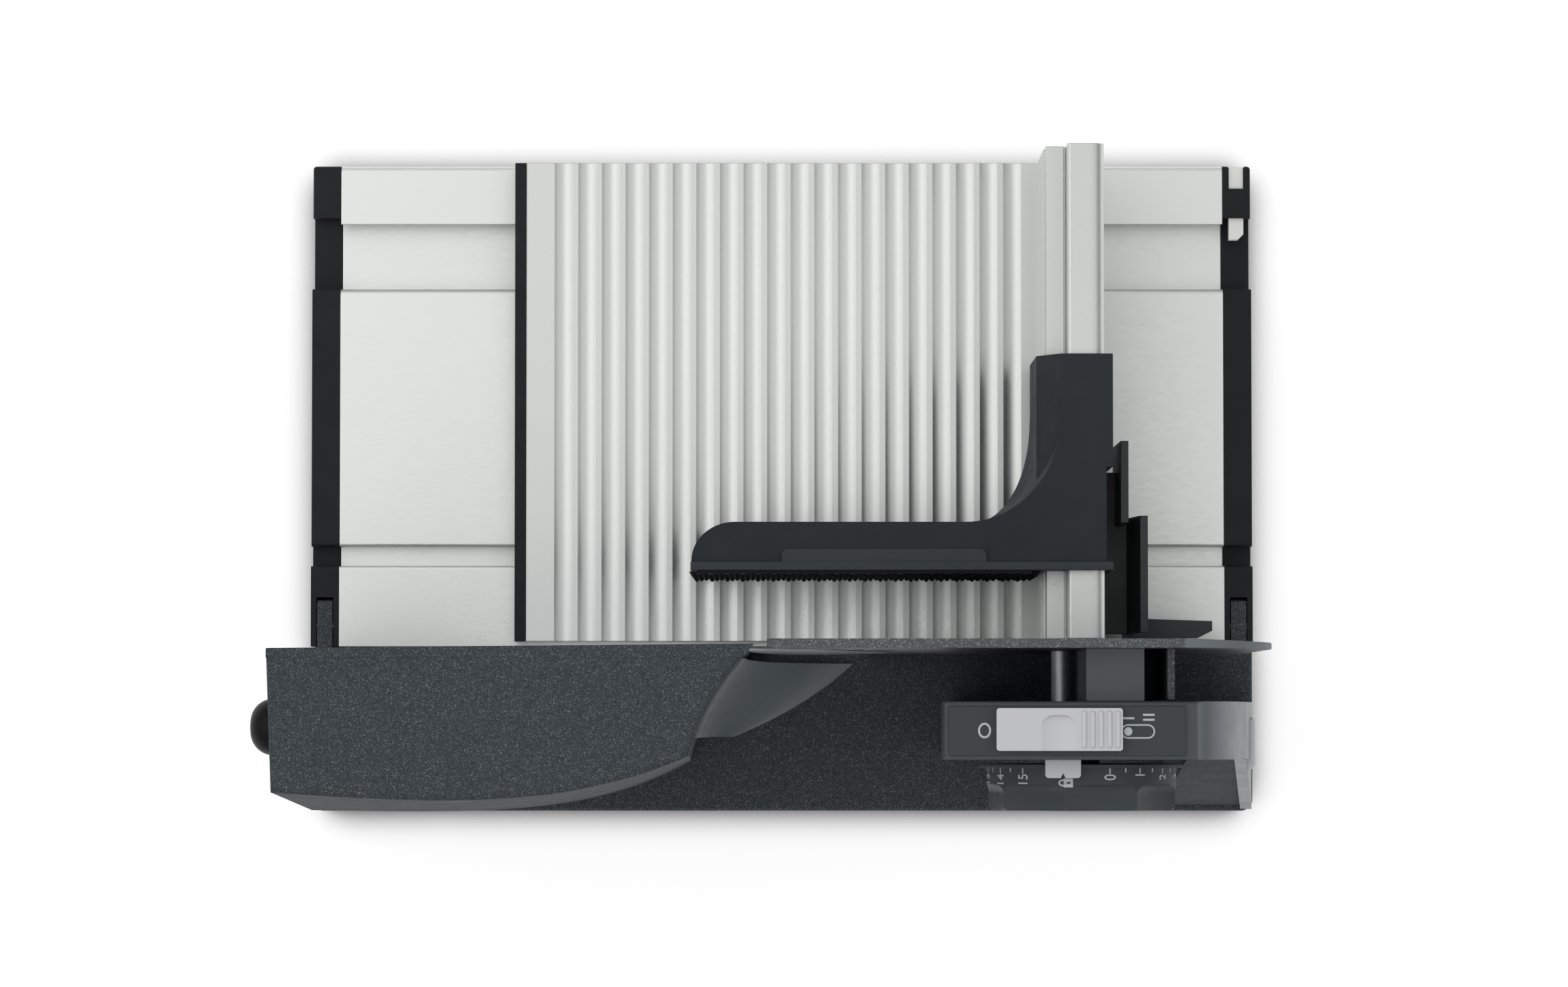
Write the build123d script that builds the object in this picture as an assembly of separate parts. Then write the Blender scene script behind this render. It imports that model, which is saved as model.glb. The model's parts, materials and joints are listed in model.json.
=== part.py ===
from build123d import *
import os
from math import cos, pi, radians, sin

# Electric folding food slicer, in millimetres.
# X runs to the operator's end, Y from the blade towards the food carriage, Z up.
# While it is built, X = 0 is the middle of the base, Y = 0 the cutting plane and Z = 0 the table.
# The whole assembly is moved at the end so that the middle of its footprint is the origin.

# Shared clearances
running_gap = 0.3        # between moving pieces
shaft_gap = 0.05         # radial, a shaft in its bore
overrun = 1.0            # how far a cut runs past the wall it cuts
seat_gap = 0.3           # below a seated soft or moving piece

# Base
base_length = 333.4
base_front = 172.0       # front edge, from the cutting plane
base_rear = 1.0
base_bottom = 5.0
cap_width = 10.0
skin = 2.4
strip_back = 153.5       # the front strip runs from here to the front edge
strip_top = 22.5
channel_back = 128.0
channel_floor = 14.0
main_back = 36.5
main_top = 25.0
groove_back = 29.5
groove_floor = 18.0
rear_top = 27.0
lip_width = 2.2          # the strip's lip over the channel, which holds the runner
lip_thick = 1.6
cap_edge_round = 1.2
foot_radius = 8.0
foot_height = 5.0
foot_inset_x = 22.0
foot_inset_y = 20.0
foot_peg_radius = 3.0
foot_peg_height = 3.0
cap_screw_radius = 1.6
cap_screw_head_radius = 3.0
cap_screw_head_height = 1.6
cap_screw_length = 12.0

# Fold hinge
hinge_y = 8.0
hinge_z = 23.0
hinge_pin_radius = 2.0
lug_thick = 5.4
lug_front = 17.8
cheek_gap = 0.3

# Carriage lock in the right cap
lock_width = 5.2
lock_height = 4.0
lock_front_inset = 0.3
lock_back = 145.8
lock_top_drop = 1.2
lock_travel = 4.0
lock_nose_chamfer = 2.0

# Carriage runner and tray
runner_length = 150.0
runner_gap = 0.4
pad_height = 1.2
pad_width = 10.0
pad_length = 24.0
tray_left = -94.3
tray_wall_face = 90.8    # the food side of the wall
tray_front = 172.0
tray_back = 2.8
tray_lift = 2.6          # underside above the main plate
tray_floor = 33.6        # the flat lands on top
flute_count = 20
flute_pitch = 8.35
flute_start = -81.4
flute_width = 6.2
flute_depth = 0.9
edge_strip_width = 4.0
edge_strip_lip = 0.4
wall_shelf_z = 91.0
wall_shelf_width = 6.0
wall_groove_width = 0.9
wall_groove_depth = 2.5
rail_top_z = 102.0
rail_width = 12.6
rail_round = 4.4
wall_thick = 3.0
wall_rib_height = 0.5
wall_rib_count = 4
tray_skirt = 3.2
tray_skin = 3.0

# Food pusher
pusher_front = 99.8
pusher_travel_in = 19.0
pusher_travel_out = 68.0
pusher_wall = 2.2
pusher_gap = 0.35
saddle_drop = 50.0
saddle_foot_gap = 6.0
saddle_crease_x = 95.2   # where the saddle's top meets its slanted shoulder
saddle_crease_z = 90.0   # where that shoulder meets the upright side
saddle_notch_front = 61.2
arm_left = -30.7
arm_bottom = 38.0
arm_front_y = 42.4
arm_end_x = -15.9        # the round free end runs from here to the arm's left side
arm_end_straight = 0.4
arm_end_share = 0.55      # how far the round end's handles reach
arm_root_x = 63.0        # the wide sweep into the saddle starts here
sweep_end_y = 77.8
sweep_draft = 3.5
sweep_handle = 18.0
arm_draft = 0.9          # how much the arm spreads at its foot
flange_front = 28.8
flange_back = 25.9
flange_bottom = 37.0
flange_rise = 1.6
flange_corner = 0.8
flange_overlap = 0.3     # of the flange past the arm's top at the free end
grip_left = 0.0
grip_right = 69.7
grip_front = 33.2
grip_rise = 1.0
grip_corner = 2.0
tooth_depth = 2.3
tooth_radius = 2.1
tooth_rows = 9
tooth_stagger = 3        # rows before the teeth line up again
tooth_columns = 22

# Hand guard on the outer side of the wall
guard_small_front = 70.9
guard_small_right = 119.2
guard_small_back = 45.4
guard_small_top = 86.0
guard_large_front = 45.4
guard_large_back = 5.2
guard_large_right = 126.2
guard_large_lean = 4.5   # how far the large plate's foot stands inward
guard_bracket_front = 61.5
guard_large_top = 80.0
guard_foot_right = 150.5
guard_foot_front = 10.6
guard_foot_back = 3.6
guard_foot_top = 51.0
guard_thick = 2.6
guard_bottom = 38.0
guard_bracket_top = 52.0

# Tower
tower_left_inset = 0.7   # from the base's ends
tower_right_inset = 0.3
tower_left = -base_length / 2 + tower_left_inset
tower_right = base_length / 2 - tower_right_inset
tower_back = -57.0
platform_top = 27.2
platform_bottom = 3.0
platform_front = -0.8
platform_skin = 2.4
platform_round = 4.0
tower_foot_radius = 7.0
tower_foot_inset = 14.0
housing_front = -2.0
housing_skin = 2.4
housing_top_round = 2.0
front_wall_thick = 3.0
hood_left_front = -1.9   # the hood over the blade leans forward towards the right
hood_right_front = -0.5
scoop_foot = 2.0
scoop_top_drop = 10.0    # below the housing's top

# Blade and its drive
blade_radius = 85.0
blade_x = -49.0
blade_floor_room = 1.3   # between the platform and the blade's rim
blade_z = platform_top + blade_floor_room + blade_radius
hood_rise = 7.5          # of the housing's top over the blade's rim
housing_top = blade_z + blade_radius + hood_rise
scoop_top = housing_top - scoop_top_drop
stop_top_drop = 16.0     # below the housing's top
stop_top = housing_top - stop_top_drop
head_top_drop = 18.0
head_top = housing_top - head_top_drop
blade_front = -0.9
blade_disc_thick = 1.4
blade_bevel = 9.0
blade_hub_radius = 33.0
blade_bolt_radius = 12.0
blade_shaft_radius = 5.0
blade_bush_radius = 10.0
blade_recess = 3.0       # radial room round the blade in the front wall
gear_width = 8.0
gear_teeth = 40
gear_tip_radius = 19.0
gear_root_depth = 2.0
worm_radius = 5.5
worm_core_radius = 4.2
worm_length = 22.0
motor_radius = 14.5
motor_inset = 14.0       # from the tower's left side
motor_left = tower_left + motor_inset
motor_worm_room = 24.0   # from the motor's end to the worm
motor_wall_room = 1.5    # from the motor to the front wall
motor_shaft_radius = 2.5
motor_bearing_radius = 7.0
motor_bearing_width = 5.0
can_wall = 2.0
magnet_gap = 0.8
magnet_share = 0.22      # the magnets' thickness in the motor's radius
magnet_thick = motor_radius * magnet_share
armature_radius = motor_radius - can_wall - magnet_thick - magnet_gap
fan_radius = 12.0
fan_width = 6.0
fan_blades = 9

# Stop plate
stop_front = 1.4
stop_thick = 3.0
stop_gap = 3.0           # from the blade's rim to the plate's curved edge
stop_bottom = 30.5
stop_right = 161.8
stop_corner = 32.3
stop_bend_x = 131.3      # the right end bends back from here
stop_bend_front = 1.1
stop_bend_back = 0.3
stop_end_round = 1.0
stop_travel = 16.4
stop_turn = 332.0        # degrees of the dial over that travel
rod_x_place = 94.8
rod_z_place = 104.0
rod_radius = 3.2
rod_length = 36.0
block_left = 100.1
block_right = 119.2
block_bottom = 96.0
block_top_drop = 20.0    # below the head's top
block_top = head_top - block_top_drop
block_length = 17.2
rib_left = 126.8         # a thin guide rib on the plate's back
rib_thick = 2.4
rib_bottom = 40.0
rib_length = stop_travel + running_gap

# Control head and dial
head_left = 53.0
head_right = 134.6
head_lean_drop = 38.0    # the left side leans inward below this drop from the top
head_lean_z = head_top - head_lean_drop
head_lean = 6.5
head_front = -19.0
head_back = -38.0
head_skin = 2.4
head_bevel = 1.4
panel_rise = 1.4
panel_inset = 1.4
panel_end_inset = 3.4
spindle_inset = 0.6
board_thick = 1.6
switch_depth = 12.0
column_right = 162.5
column_foot_right = 166.0
column_shoulder_z = 75.0
column_bulge = 154.0
column_bulge_drop = 4.0
dial_x = 99.65
dial_top_drop = 43.0     # of the dial's axis below the head's top
dial_z = head_top - dial_top_drop
dial_radius = 31.4
dial_front = -39.6
dial_back = -54.8
dial_flange = 33.6
dial_flange_thick = 1.2
dial_skin = 3.0
dial_scallops = 8
dial_scallop_hollow = 1.2   # below the chord between two ridges
dial_ridge_turn = -12.7
dial_grip_front = -46.3
dial_scallop_round = 3.0   # at the front end of each scallop
spindle_radius = 6.0
tab_width = 11.6
tab_thick = 2.4
tab_back = -44.0
tab_x = 91.8
tab_notch = 1.6
tab_corner = 1.2

# Switch, buttons
slider_left = 69.7
slider_right = 110.6
slider_front = -21.2
slider_back = -35.1
slider_height = 3.2
slider_travel = 11.0
slider_ribs = 5
slider_rib_sink = 0.78   # radius of the part of a rib that shows
slider_rib_pitch = 2.73
slider_rib_inset = 1.56  # of the last rib from the slider's end
safety_y = -33.0
safety_width = 17.0
safety_z = 112.0
safety_height = 20.0
safety_set_back = 3.0    # from the column's widest place
safety_travel = 1.4
safety_round = 1.3
knob_y = -27.4
knob_z = 58.0
knob_radius = 9.9
knob_proud = 18.8
knob_travel = 4.0
knob_stem_radius = 4.0

pieces = {}              # node name to shape, in the order they are made


def block(x0, x1, y0, y1, z0, z1):
    """A box between two corners."""
    box = Box(x1 - x0, y1 - y0, z1 - z0)
    return Pos((x0 + x1) / 2, (y0 + y1) / 2, (z0 + z1) / 2) * box


def rodX(x0, x1, y, z, radius):
    return Pos((x0 + x1) / 2, y, z) * Rot(0, 90, 0) * Cylinder(radius, x1 - x0)


def rodY(x, y0, y1, z, radius):
    return Pos(x, (y0 + y1) / 2, z) * Rot(90, 0, 0) * Cylinder(radius, y1 - y0)


def rodZ(x, y, z0, z1, radius):
    return Pos(x, y, (z0 + z1) / 2) * Cylinder(radius, z1 - z0)


def prismX(points, x0, x1):
    """An outline of (y, z) points, carried from x0 to x1."""
    face = make_face(Polyline(*[(0, y, z) for y, z in points], close=True))
    return Pos(x0, 0, 0) * extrude(face, amount=x1 - x0, dir=(1, 0, 0))


def prismY(points, y0, y1):
    """An outline of (x, z) points, carried from y0 to y1."""
    face = make_face(Polyline(*[(x, 0, z) for x, z in points], close=True))
    return Pos(0, y0, 0) * extrude(face, amount=y1 - y0, dir=(0, 1, 0))


def prismZ(points, z0, z1):
    """An outline of (x, y) points, carried from z0 to z1."""
    face = make_face(Polyline(*[(x, y, 0) for x, y in points], close=True))
    return Pos(0, 0, z0) * extrude(face, amount=z1 - z0, dir=(0, 0, 1))


def edgesNear(shape, axis, **place):
    """The straight edges along an axis whose middle lies at the given x, y or z."""
    found = []
    for edge in shape.edges().filter_by(axis):
        centre = edge.center()
        if all(abs(getattr(centre, key.upper()) - value) < running_gap for key, value in place.items()):
            found.append(edge)
    return found


def soften(shape, radius, axis, **place):
    found = edgesNear(shape, axis, **place)
    return fillet(found, radius) if found else shape


# Base
plate_left = -base_length / 2 + cap_width
plate_right = base_length / 2 - cap_width
screw_places = [(base_rear + 3 * skin, base_bottom + 2 * skin),
                (base_front - 3 * skin, base_bottom + 2 * skin)]
foot_places = [(sx * (plate_right - foot_inset_x), y)
               for sx in (-1, 1) for y in (base_rear + foot_inset_y, base_front - foot_inset_y)]
top_round = 2.0          # the soft edge of each raised land


def topContour(drop=0):
    """The base's (y, z) contour from the rear edge to the front edge."""
    return [(base_rear, rear_top - drop), (groove_back, rear_top - drop),
            (groove_back, groove_floor - drop), (main_back, groove_floor - drop),
            (main_back, main_top - drop), (channel_back, main_top - drop),
            (channel_back, channel_floor - drop), (strip_back, channel_floor - drop),
            (strip_back, strip_top - drop), (base_front, strip_top - drop)]


def basePlate():
    outer = topContour() + [(base_front, base_bottom), (base_rear, base_bottom)]
    plate = prismX(outer, plate_left, plate_right)
    rooms = [(base_rear + skin, groove_back - skin, rear_top),
             (groove_back - skin, main_back + skin, groove_floor),
             (main_back + skin, channel_back - skin, main_top),
             (channel_back - skin, strip_back + skin, channel_floor),
             (strip_back + skin, base_front - skin, strip_top)]
    for y0, y1, top in rooms:
        plate -= block(plate_left - overrun, plate_right + overrun, y0, y1, base_bottom + skin, top - skin)
    plate += block(plate_left, plate_right, strip_back - lip_width, strip_back, strip_top - lip_thick,
                   strip_top)
    plate = soften(plate, top_round, Axis.X, y=base_front, z=strip_top)
    plate = soften(plate, top_round, Axis.X, y=channel_back, z=main_top)
    plate = soften(plate, top_round / 2, Axis.X, y=main_back, z=main_top)
    plate = soften(plate, top_round / 2, Axis.X, y=groove_back, z=rear_top)
    for y, z in screw_places:
        plate += rodX(plate_left, plate_right, y, z, 2 * skin - seat_gap)
        plate -= rodX(plate_left - overrun, plate_left + cap_screw_length, y, z, cap_screw_radius)
        plate -= rodX(plate_right - cap_screw_length, plate_right + overrun, y, z, cap_screw_radius)
    for x, y in foot_places:
        plate -= rodZ(x, y, base_bottom - overrun, base_bottom + skin + overrun, foot_peg_radius)
    return plate


def endCap(side):
    """side is -1 for the left cap and 1 for the right one."""
    x0, x1 = sorted((side * plate_right, side * base_length / 2))
    cap = prismX(topContour() + [(base_front, base_bottom), (base_rear, base_bottom)], x0, x1)
    outer_x = side * base_length / 2
    for y, z in ((base_front, strip_top), (channel_back, main_top), (main_back, main_top),
                 (groove_back, rear_top)):
        cap = soften(cap, cap_edge_round, Axis.X, y=y, z=z)
    cap = soften(cap, cap_edge_round, Axis.Z, x=outer_x, y=base_front)
    lug_x = side * (base_length / 2 - cap_width / 2)
    half = lug_thick / 2 + cheek_gap
    slot_floor = hinge_z - (lug_front - hinge_y) - running_gap * 2
    cap -= block(lug_x - half, lug_x + half, base_rear - overrun, lug_front + running_gap * 2,
                 slot_floor, rear_top + overrun)
    cap -= rodX(x0 - overrun, x1 + overrun, hinge_y, hinge_z, hinge_pin_radius)
    for y, z in screw_places:
        cap -= rodX(x0 - overrun, x1 + overrun, y, z, cap_screw_radius)
        head0, head1 = sorted((outer_x + side * overrun, outer_x - side * cap_screw_head_height))
        cap -= rodX(head0, head1, y, z, cap_screw_head_radius)
    return cap


lock_x = base_length / 2 - cap_width / 2
lock_front = base_front - lock_front_inset
lock_z1 = strip_top - lock_top_drop
lock_z0 = lock_z1 - lock_height
window_mid_front = 164.0


def rightCapCuts(cap):
    """Room for the lock slide, and the two windows that show it."""
    side_gap = running_gap
    x0 = lock_x - lock_width / 2 - side_gap
    x1 = lock_x + lock_width / 2 + side_gap
    room_back = lock_back - lock_travel - side_gap
    cap -= block(x0, x1, room_back, base_front + overrun, lock_z0 - side_gap, lock_z1 + side_gap)
    cap -= block(x0, x1, window_mid_front, base_front + overrun, lock_z1, strip_top + overrun)
    cap -= block(x0, x1, room_back, strip_back, lock_z1, lock_z1 + overrun * 3)
    return cap


def lockSlide():
    x0 = lock_x - lock_width / 2
    x1 = lock_x + lock_width / 2
    bar = block(x0, x1, lock_back, lock_front, lock_z0, lock_z1)
    nose = [edge for edge in bar.edges().filter_by(Axis.Z)
            if abs(edge.center().Y - lock_back) < running_gap and edge.center().X > lock_x]
    bar = chamfer(nose, lock_nose_chamfer)
    return bar


def baseFeet():
    feet = []
    for x, y in foot_places:
        foot = rodZ(x, y, 0, foot_height, foot_radius)
        rim = foot.edges().sort_by(Axis.Z)[0]
        foot = chamfer(rim, top_round / 2)
        foot += rodZ(x, y, foot_height, foot_height + foot_peg_height, foot_peg_radius)
        feet.append(foot)
    return feet


def capScrews():
    screws = []
    for side in (-1, 1):
        face = side * base_length / 2
        for y, z in screw_places:
            head0, head1 = sorted((face, face - side * cap_screw_head_height))
            inner = side * (plate_right - cap_screw_length + overrun)
            shank0, shank1 = sorted((face - side * cap_screw_head_height, inner))
            head = rodX(head0, head1, y, z, cap_screw_head_radius)
            head -= rodX(head0 if side < 0 else head1 - overrun / 2,
                         head0 + overrun / 2 if side < 0 else head1, y, z, cap_screw_radius)
            screws.append(head + rodX(shank0, shank1, y, z, cap_screw_radius))
    return screws


def hingePins():
    pins = []
    for side in (-1, 1):
        x0, x1 = sorted((side * plate_right, side * base_length / 2))
        pins.append(rodX(x0, x1, hinge_y, hinge_z, hinge_pin_radius))
    return pins


pieces["base_plate"] = basePlate()
pieces["left_end_cap"] = endCap(-1)
pieces["right_end_cap"] = rightCapCuts(endCap(1))
pieces["carriage_lock"] = lockSlide()
pieces["base_feet"] = baseFeet()
pieces["end_cap_screws"] = capScrews()
pieces["hinge_pins"] = hingePins()


# Carriage runner, in the base channel
runner_mid_x = (tray_left + tray_wall_face) / 2
runner_left = runner_mid_x - runner_length / 2
runner_right = runner_mid_x + runner_length / 2
tray_under = main_top + tray_lift
runner_foot_z0 = channel_floor + pad_height
runner_foot_z1 = strip_top - lip_thick - runner_gap
runner_neck_front = strip_back - lip_width - runner_gap


def carriageRunner():
    foot_y0 = channel_back + runner_gap
    foot_y1 = strip_back - runner_gap
    foot = block(runner_left, runner_right, foot_y0, foot_y1, runner_foot_z0, runner_foot_z1)
    neck = block(runner_left, runner_right, foot_y0, runner_neck_front, runner_foot_z1, tray_under)
    room = block(runner_left + pad_width, runner_right - pad_width, foot_y0 + tray_skin,
                 runner_neck_front - tray_skin, runner_foot_z0 + tray_skin, tray_under + overrun)
    return foot + neck - room


def glidePads():
    pads = []
    for x in (runner_left, runner_right - pad_length):
        y0 = (channel_back + strip_back - pad_width) / 2
        pads.append(block(x, x + pad_length, y0, y0 + pad_width, channel_floor, runner_foot_z0))
    return pads


# Food carriage tray: fluted floor and the wall that carries the pusher
wall_right = tray_wall_face + wall_shelf_width + wall_groove_width + rail_width
rail_left = wall_right - rail_width
tray_bottom = tray_under


def carriageTray():
    floor = block(tray_left + edge_strip_width, tray_wall_face + wall_thick, tray_back, tray_front,
                  tray_bottom, tray_floor)
    floor -= block(tray_left + edge_strip_width + tray_skirt, tray_wall_face - tray_skirt,
                   tray_back + tray_skirt, tray_front - tray_skirt,
                   tray_bottom - overrun, tray_floor - tray_skin)
    # the back wall of the L stands on the floor and turns over into the shelf and the rail
    wall = block(tray_wall_face, tray_wall_face + wall_thick, tray_back, tray_front, tray_bottom,
                 wall_shelf_z)
    wall += block(tray_wall_face, rail_left, tray_back, tray_front, wall_shelf_z - wall_thick, wall_shelf_z)
    wall += block(rail_left, wall_right, tray_back, tray_front,
                  wall_shelf_z - wall_groove_depth - wall_thick, rail_top_z)
    wall -= block(rail_left - wall_groove_width, rail_left, tray_back - overrun, tray_front + overrun,
                  wall_shelf_z - wall_groove_depth, wall_shelf_z + overrun)
    wall = soften(wall, rail_round, Axis.Y, x=wall_right, z=rail_top_z)
    wall = soften(wall, wall_rib_height * 2, Axis.Y, x=rail_left, z=rail_top_z)
    tray = floor + wall
    rib_step = (wall_shelf_z - tray_floor) / (wall_rib_count + 1)
    for index in range(wall_rib_count):
        z = tray_floor + rib_step * (index + 1)
        tray += block(tray_wall_face - wall_rib_height, tray_wall_face, tray_back, tray_front,
                      z - wall_rib_height, z + wall_rib_height)
    # each flute is a shallow circular hollow of the given width and depth
    radius = (flute_width ** 2 / 4 + flute_depth ** 2) / (2 * flute_depth)
    for index in range(flute_count):
        x = flute_start + flute_pitch * (index + 0.5)
        tray -= rodY(x, tray_back - overrun, tray_front + overrun, tray_floor - flute_depth + radius, radius)
    return tray


def trayEdgeStrip():
    strip = block(tray_left, tray_left + edge_strip_width, tray_back, tray_front,
                  tray_bottom, tray_floor + edge_strip_lip)
    return soften(strip, edge_strip_lip, Axis.Y, x=tray_left, z=tray_floor + edge_strip_lip)


pieces["carriage_runner"] = carriageRunner()
pieces["runner_glide_pads"] = glidePads()
pieces["carriage_tray"] = carriageTray()
pieces["tray_edge_strip"] = trayEdgeStrip()


# Food pusher: a saddle over the wall, with a tall arm across the tray that sweeps into it
saddle_left = tray_wall_face - pusher_gap * 2 - wall_rib_height - pusher_wall
saddle_right = wall_right + pusher_gap + pusher_wall
saddle_top = rail_top_z + pusher_gap + pusher_wall
saddle_bottom = tray_floor + saddle_foot_gap
saddle_inner_left = saddle_left + pusher_wall
saddle_inner_right = saddle_right - pusher_wall


def pusherOutline(z, foot):
    """The arm and its sweep seen from above, as a face at a height; foot is 0 at the top, 1 at the bottom."""
    left = arm_left - foot * arm_draft
    front = arm_front_y + foot * arm_draft
    sweep_x = saddle_crease_x + foot * (saddle_left - saddle_crease_x)
    sweep_y = sweep_end_y + foot * sweep_draft
    end_y = flange_front + arm_end_straight
    start = (left, flange_front, z)
    end_low = (left, end_y, z)
    end_high = (arm_end_x, front, z)
    root = (arm_root_x, front, z)
    sweep_end = (sweep_x, sweep_y, z)
    handle_low = (left, end_y + arm_end_share * (front - end_y), z)
    handle_high = (arm_end_x + arm_end_share * (left - arm_end_x), front, z)
    free_end = Bezier(end_low, handle_low, handle_high,
                      end_high)
    sweep = Bezier(root, (arm_root_x + sweep_handle, front, z), (sweep_x, sweep_y - sweep_handle, z),
                   sweep_end)
    inner_front = (rail_left, sweep_y, z)
    inner_back = (rail_left, flange_front, z)
    return make_face([Line(start, end_low), free_end, Line(end_high, root), sweep, Line(sweep_end,
                                                                                        inner_front),
                      Line(inner_front, inner_back), Line(inner_back, start)])


def wallRoom(y0, y1):
    """The room that the saddle leaves round the tray's wall, its shelf and its rail."""
    room = block(saddle_inner_left, saddle_inner_right, y0, y1, arm_bottom - 2 * overrun,
                 wall_shelf_z + pusher_gap)
    return room + block(rail_left - pusher_gap, saddle_inner_right, y0, y1, wall_shelf_z,
                        rail_top_z + pusher_gap)


def pusherBody():
    right_foot = saddle_top - saddle_drop
    body = prismY([(saddle_left, saddle_bottom), (saddle_left, saddle_crease_z), (saddle_crease_x,
                                                                                  saddle_top),
                   (saddle_right, saddle_top), (saddle_right, right_foot), (saddle_inner_left, right_foot),
                   (saddle_inner_left, saddle_bottom)], flange_front, pusher_front)
    body += loft([pusherOutline(arm_bottom, 1), pusherOutline(saddle_top, 0)], ruled=True)
    body -= wallRoom(flange_front - overrun, pusher_front + overrun)
    body -= block(saddle_inner_right, saddle_right + overrun, flange_front - overrun, saddle_notch_front,
                  arm_bottom - overrun, saddle_top + overrun)
    body -= block(arm_end_x, saddle_left - pusher_wall, flange_front + pusher_wall, arm_front_y - pusher_wall,
                  arm_bottom - overrun, saddle_top - pusher_wall)
    return body


def pusherFlange():
    """The plate that meets the food, and the raised grip pad on the arm."""
    top = saddle_top + flange_rise
    plate = block(arm_left - flange_overlap, saddle_inner_right, flange_back, flange_front, flange_bottom, top)
    plate = soften(plate, flange_corner, Axis.Y, x=arm_left - flange_overlap, z=top)
    plate -= wallRoom(flange_back - overrun, flange_front + overrun)
    plate += block(saddle_inner_right, saddle_right, flange_back, flange_front, saddle_top - saddle_drop, top)
    pad = block(grip_left, grip_right, flange_front, grip_front, saddle_top, saddle_top + grip_rise)
    for x in (grip_left, grip_right):
        pad = soften(pad, grip_corner, Axis.Z, x=x, y=grip_front)
    return plate + pad


def pusherTeeth():
    teeth = []
    height = saddle_top - flange_bottom
    for row in range(tooth_rows):
        z = flange_bottom + height * (row + 0.5) / tooth_rows
        for column in range(tooth_columns):
            place = (column + (row % tooth_stagger + 0.5) / tooth_stagger) / tooth_columns
            x = arm_left + (saddle_left - arm_left) * place
            cone = Cone(tooth_radius, tooth_radius / 6, tooth_depth)
            teeth.append(Pos(x, flange_back - tooth_depth / 2, z) * Rot(90, 0, 0) * cone)
    comb = block(arm_left + tooth_radius, saddle_left - tooth_radius, flange_back - tooth_radius / 2,
                 flange_back,
                 flange_bottom + tooth_radius, saddle_top)
    for tooth in teeth:
        comb += tooth
    return comb


pieces["pusher_body"] = pusherBody()
pieces["pusher_flange"] = pusherFlange()
pieces["pusher_teeth"] = pusherTeeth()


def handGuard():
    """Two upright plates, the outer one leaning, on a bracket outside the wall, and a foot plate."""
    inner_wall = tray_wall_face + wall_thick
    foot_right = guard_large_right - guard_large_lean
    guard = prismY([(guard_large_right - guard_thick, guard_large_top), (guard_large_right, guard_large_top),
                    (foot_right, guard_bottom), (foot_right - guard_thick, guard_bottom)],
                   guard_large_back, guard_large_front)
    guard += block(guard_small_right - guard_thick, guard_small_right, guard_small_back - guard_thick,
                   guard_small_front, guard_bottom, guard_small_top)
    guard += block(inner_wall, guard_small_right, guard_large_front, guard_bracket_front, guard_bottom,
                   guard_bracket_top)
    guard += block(inner_wall, foot_right, guard_large_back, guard_large_front, guard_bottom, guard_bracket_top)
    foot = prismZ([(foot_right - guard_thick, guard_foot_back),
                   (guard_foot_right - guard_thick * 2, guard_foot_back),
                   (guard_foot_right, guard_foot_back + guard_thick),
                   (guard_foot_right, guard_foot_front - overrun),
                   (foot_right - guard_thick, guard_foot_front)],
                  guard_foot_top - guard_thick, guard_foot_top)
    return guard + foot


pieces["hand_guard"] = handGuard()


# Tower: low platform, lugs, motor housing and control head
under_z = platform_bottom + platform_skin
lug_mid_x = base_length / 2 - cap_width / 2


def rearPlatform():
    shell = block(tower_left, tower_right, tower_back, platform_front, under_z, platform_top)
    shell = soften(shell, platform_round, Axis.Z, x=tower_left, y=tower_back)
    shell = soften(shell, platform_round, Axis.Z, x=tower_right, y=tower_back)
    shell = soften(shell, platform_skin / 2, Axis.X, y=tower_back, z=platform_top)
    shell -= block(tower_left + platform_skin, tower_right - platform_skin, tower_back + platform_skin,
                   platform_front - platform_skin, under_z - overrun, platform_top - platform_skin)
    for x, y in tower_foot_places:
        shell += rodZ(x, y, under_z, platform_top, foot_peg_radius + platform_skin)
        shell -= rodZ(x, y, under_z - overrun, under_z + cap_screw_length, cap_screw_radius)
    return shell


tower_foot_places = [(x, y) for x in (tower_left + tower_foot_inset, tower_right - tower_foot_inset)
                     for y in (tower_back + tower_foot_inset, platform_front - tower_foot_inset)]


def underCover():
    cover = block(tower_left, tower_right, tower_back, platform_front, platform_bottom, under_z)
    cover = soften(cover, platform_round, Axis.Z, x=tower_left, y=tower_back)
    cover = soften(cover, platform_round, Axis.Z, x=tower_right, y=tower_back)
    for x, y in tower_foot_places:
        cover -= rodZ(x, y, platform_bottom - overrun, under_z + overrun, cap_screw_radius)
    return cover


def towerFeet():
    return [rodZ(x, y, 0, platform_bottom, tower_foot_radius)
            - rodZ(x, y, -overrun, platform_bottom + overrun, cap_screw_radius)
            - rodZ(x, y, -overrun, cap_screw_head_height, cap_screw_head_radius)
            for x, y in tower_foot_places]


def underScrews():
    return [rodZ(x, y, seat_gap, cap_screw_head_height, cap_screw_head_radius)
            + rodZ(x, y, cap_screw_head_height, under_z + cap_screw_length - overrun, cap_screw_radius)
            for x, y in tower_foot_places]


def hingeLugs():
    lugs = []
    nose = lug_front - hinge_y
    for side in (-1, 1):
        x0 = side * lug_mid_x - lug_thick / 2
        x1 = side * lug_mid_x + lug_thick / 2
        lug = rodX(x0, x1, hinge_y, hinge_z, nose)
        lug += block(x0, x1, platform_front, hinge_y, hinge_z - nose, hinge_z)
        lug &= block(x0, x1, platform_front, lug_front, hinge_z - nose, platform_top)
        lug += block(x0, x1, platform_front, hinge_y, hinge_z - nose, platform_top)
        lugs.append(lug - rodX(x0 - overrun, x1 + overrun, hinge_y, hinge_z, hinge_pin_radius + shaft_gap))
    return lugs


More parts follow.
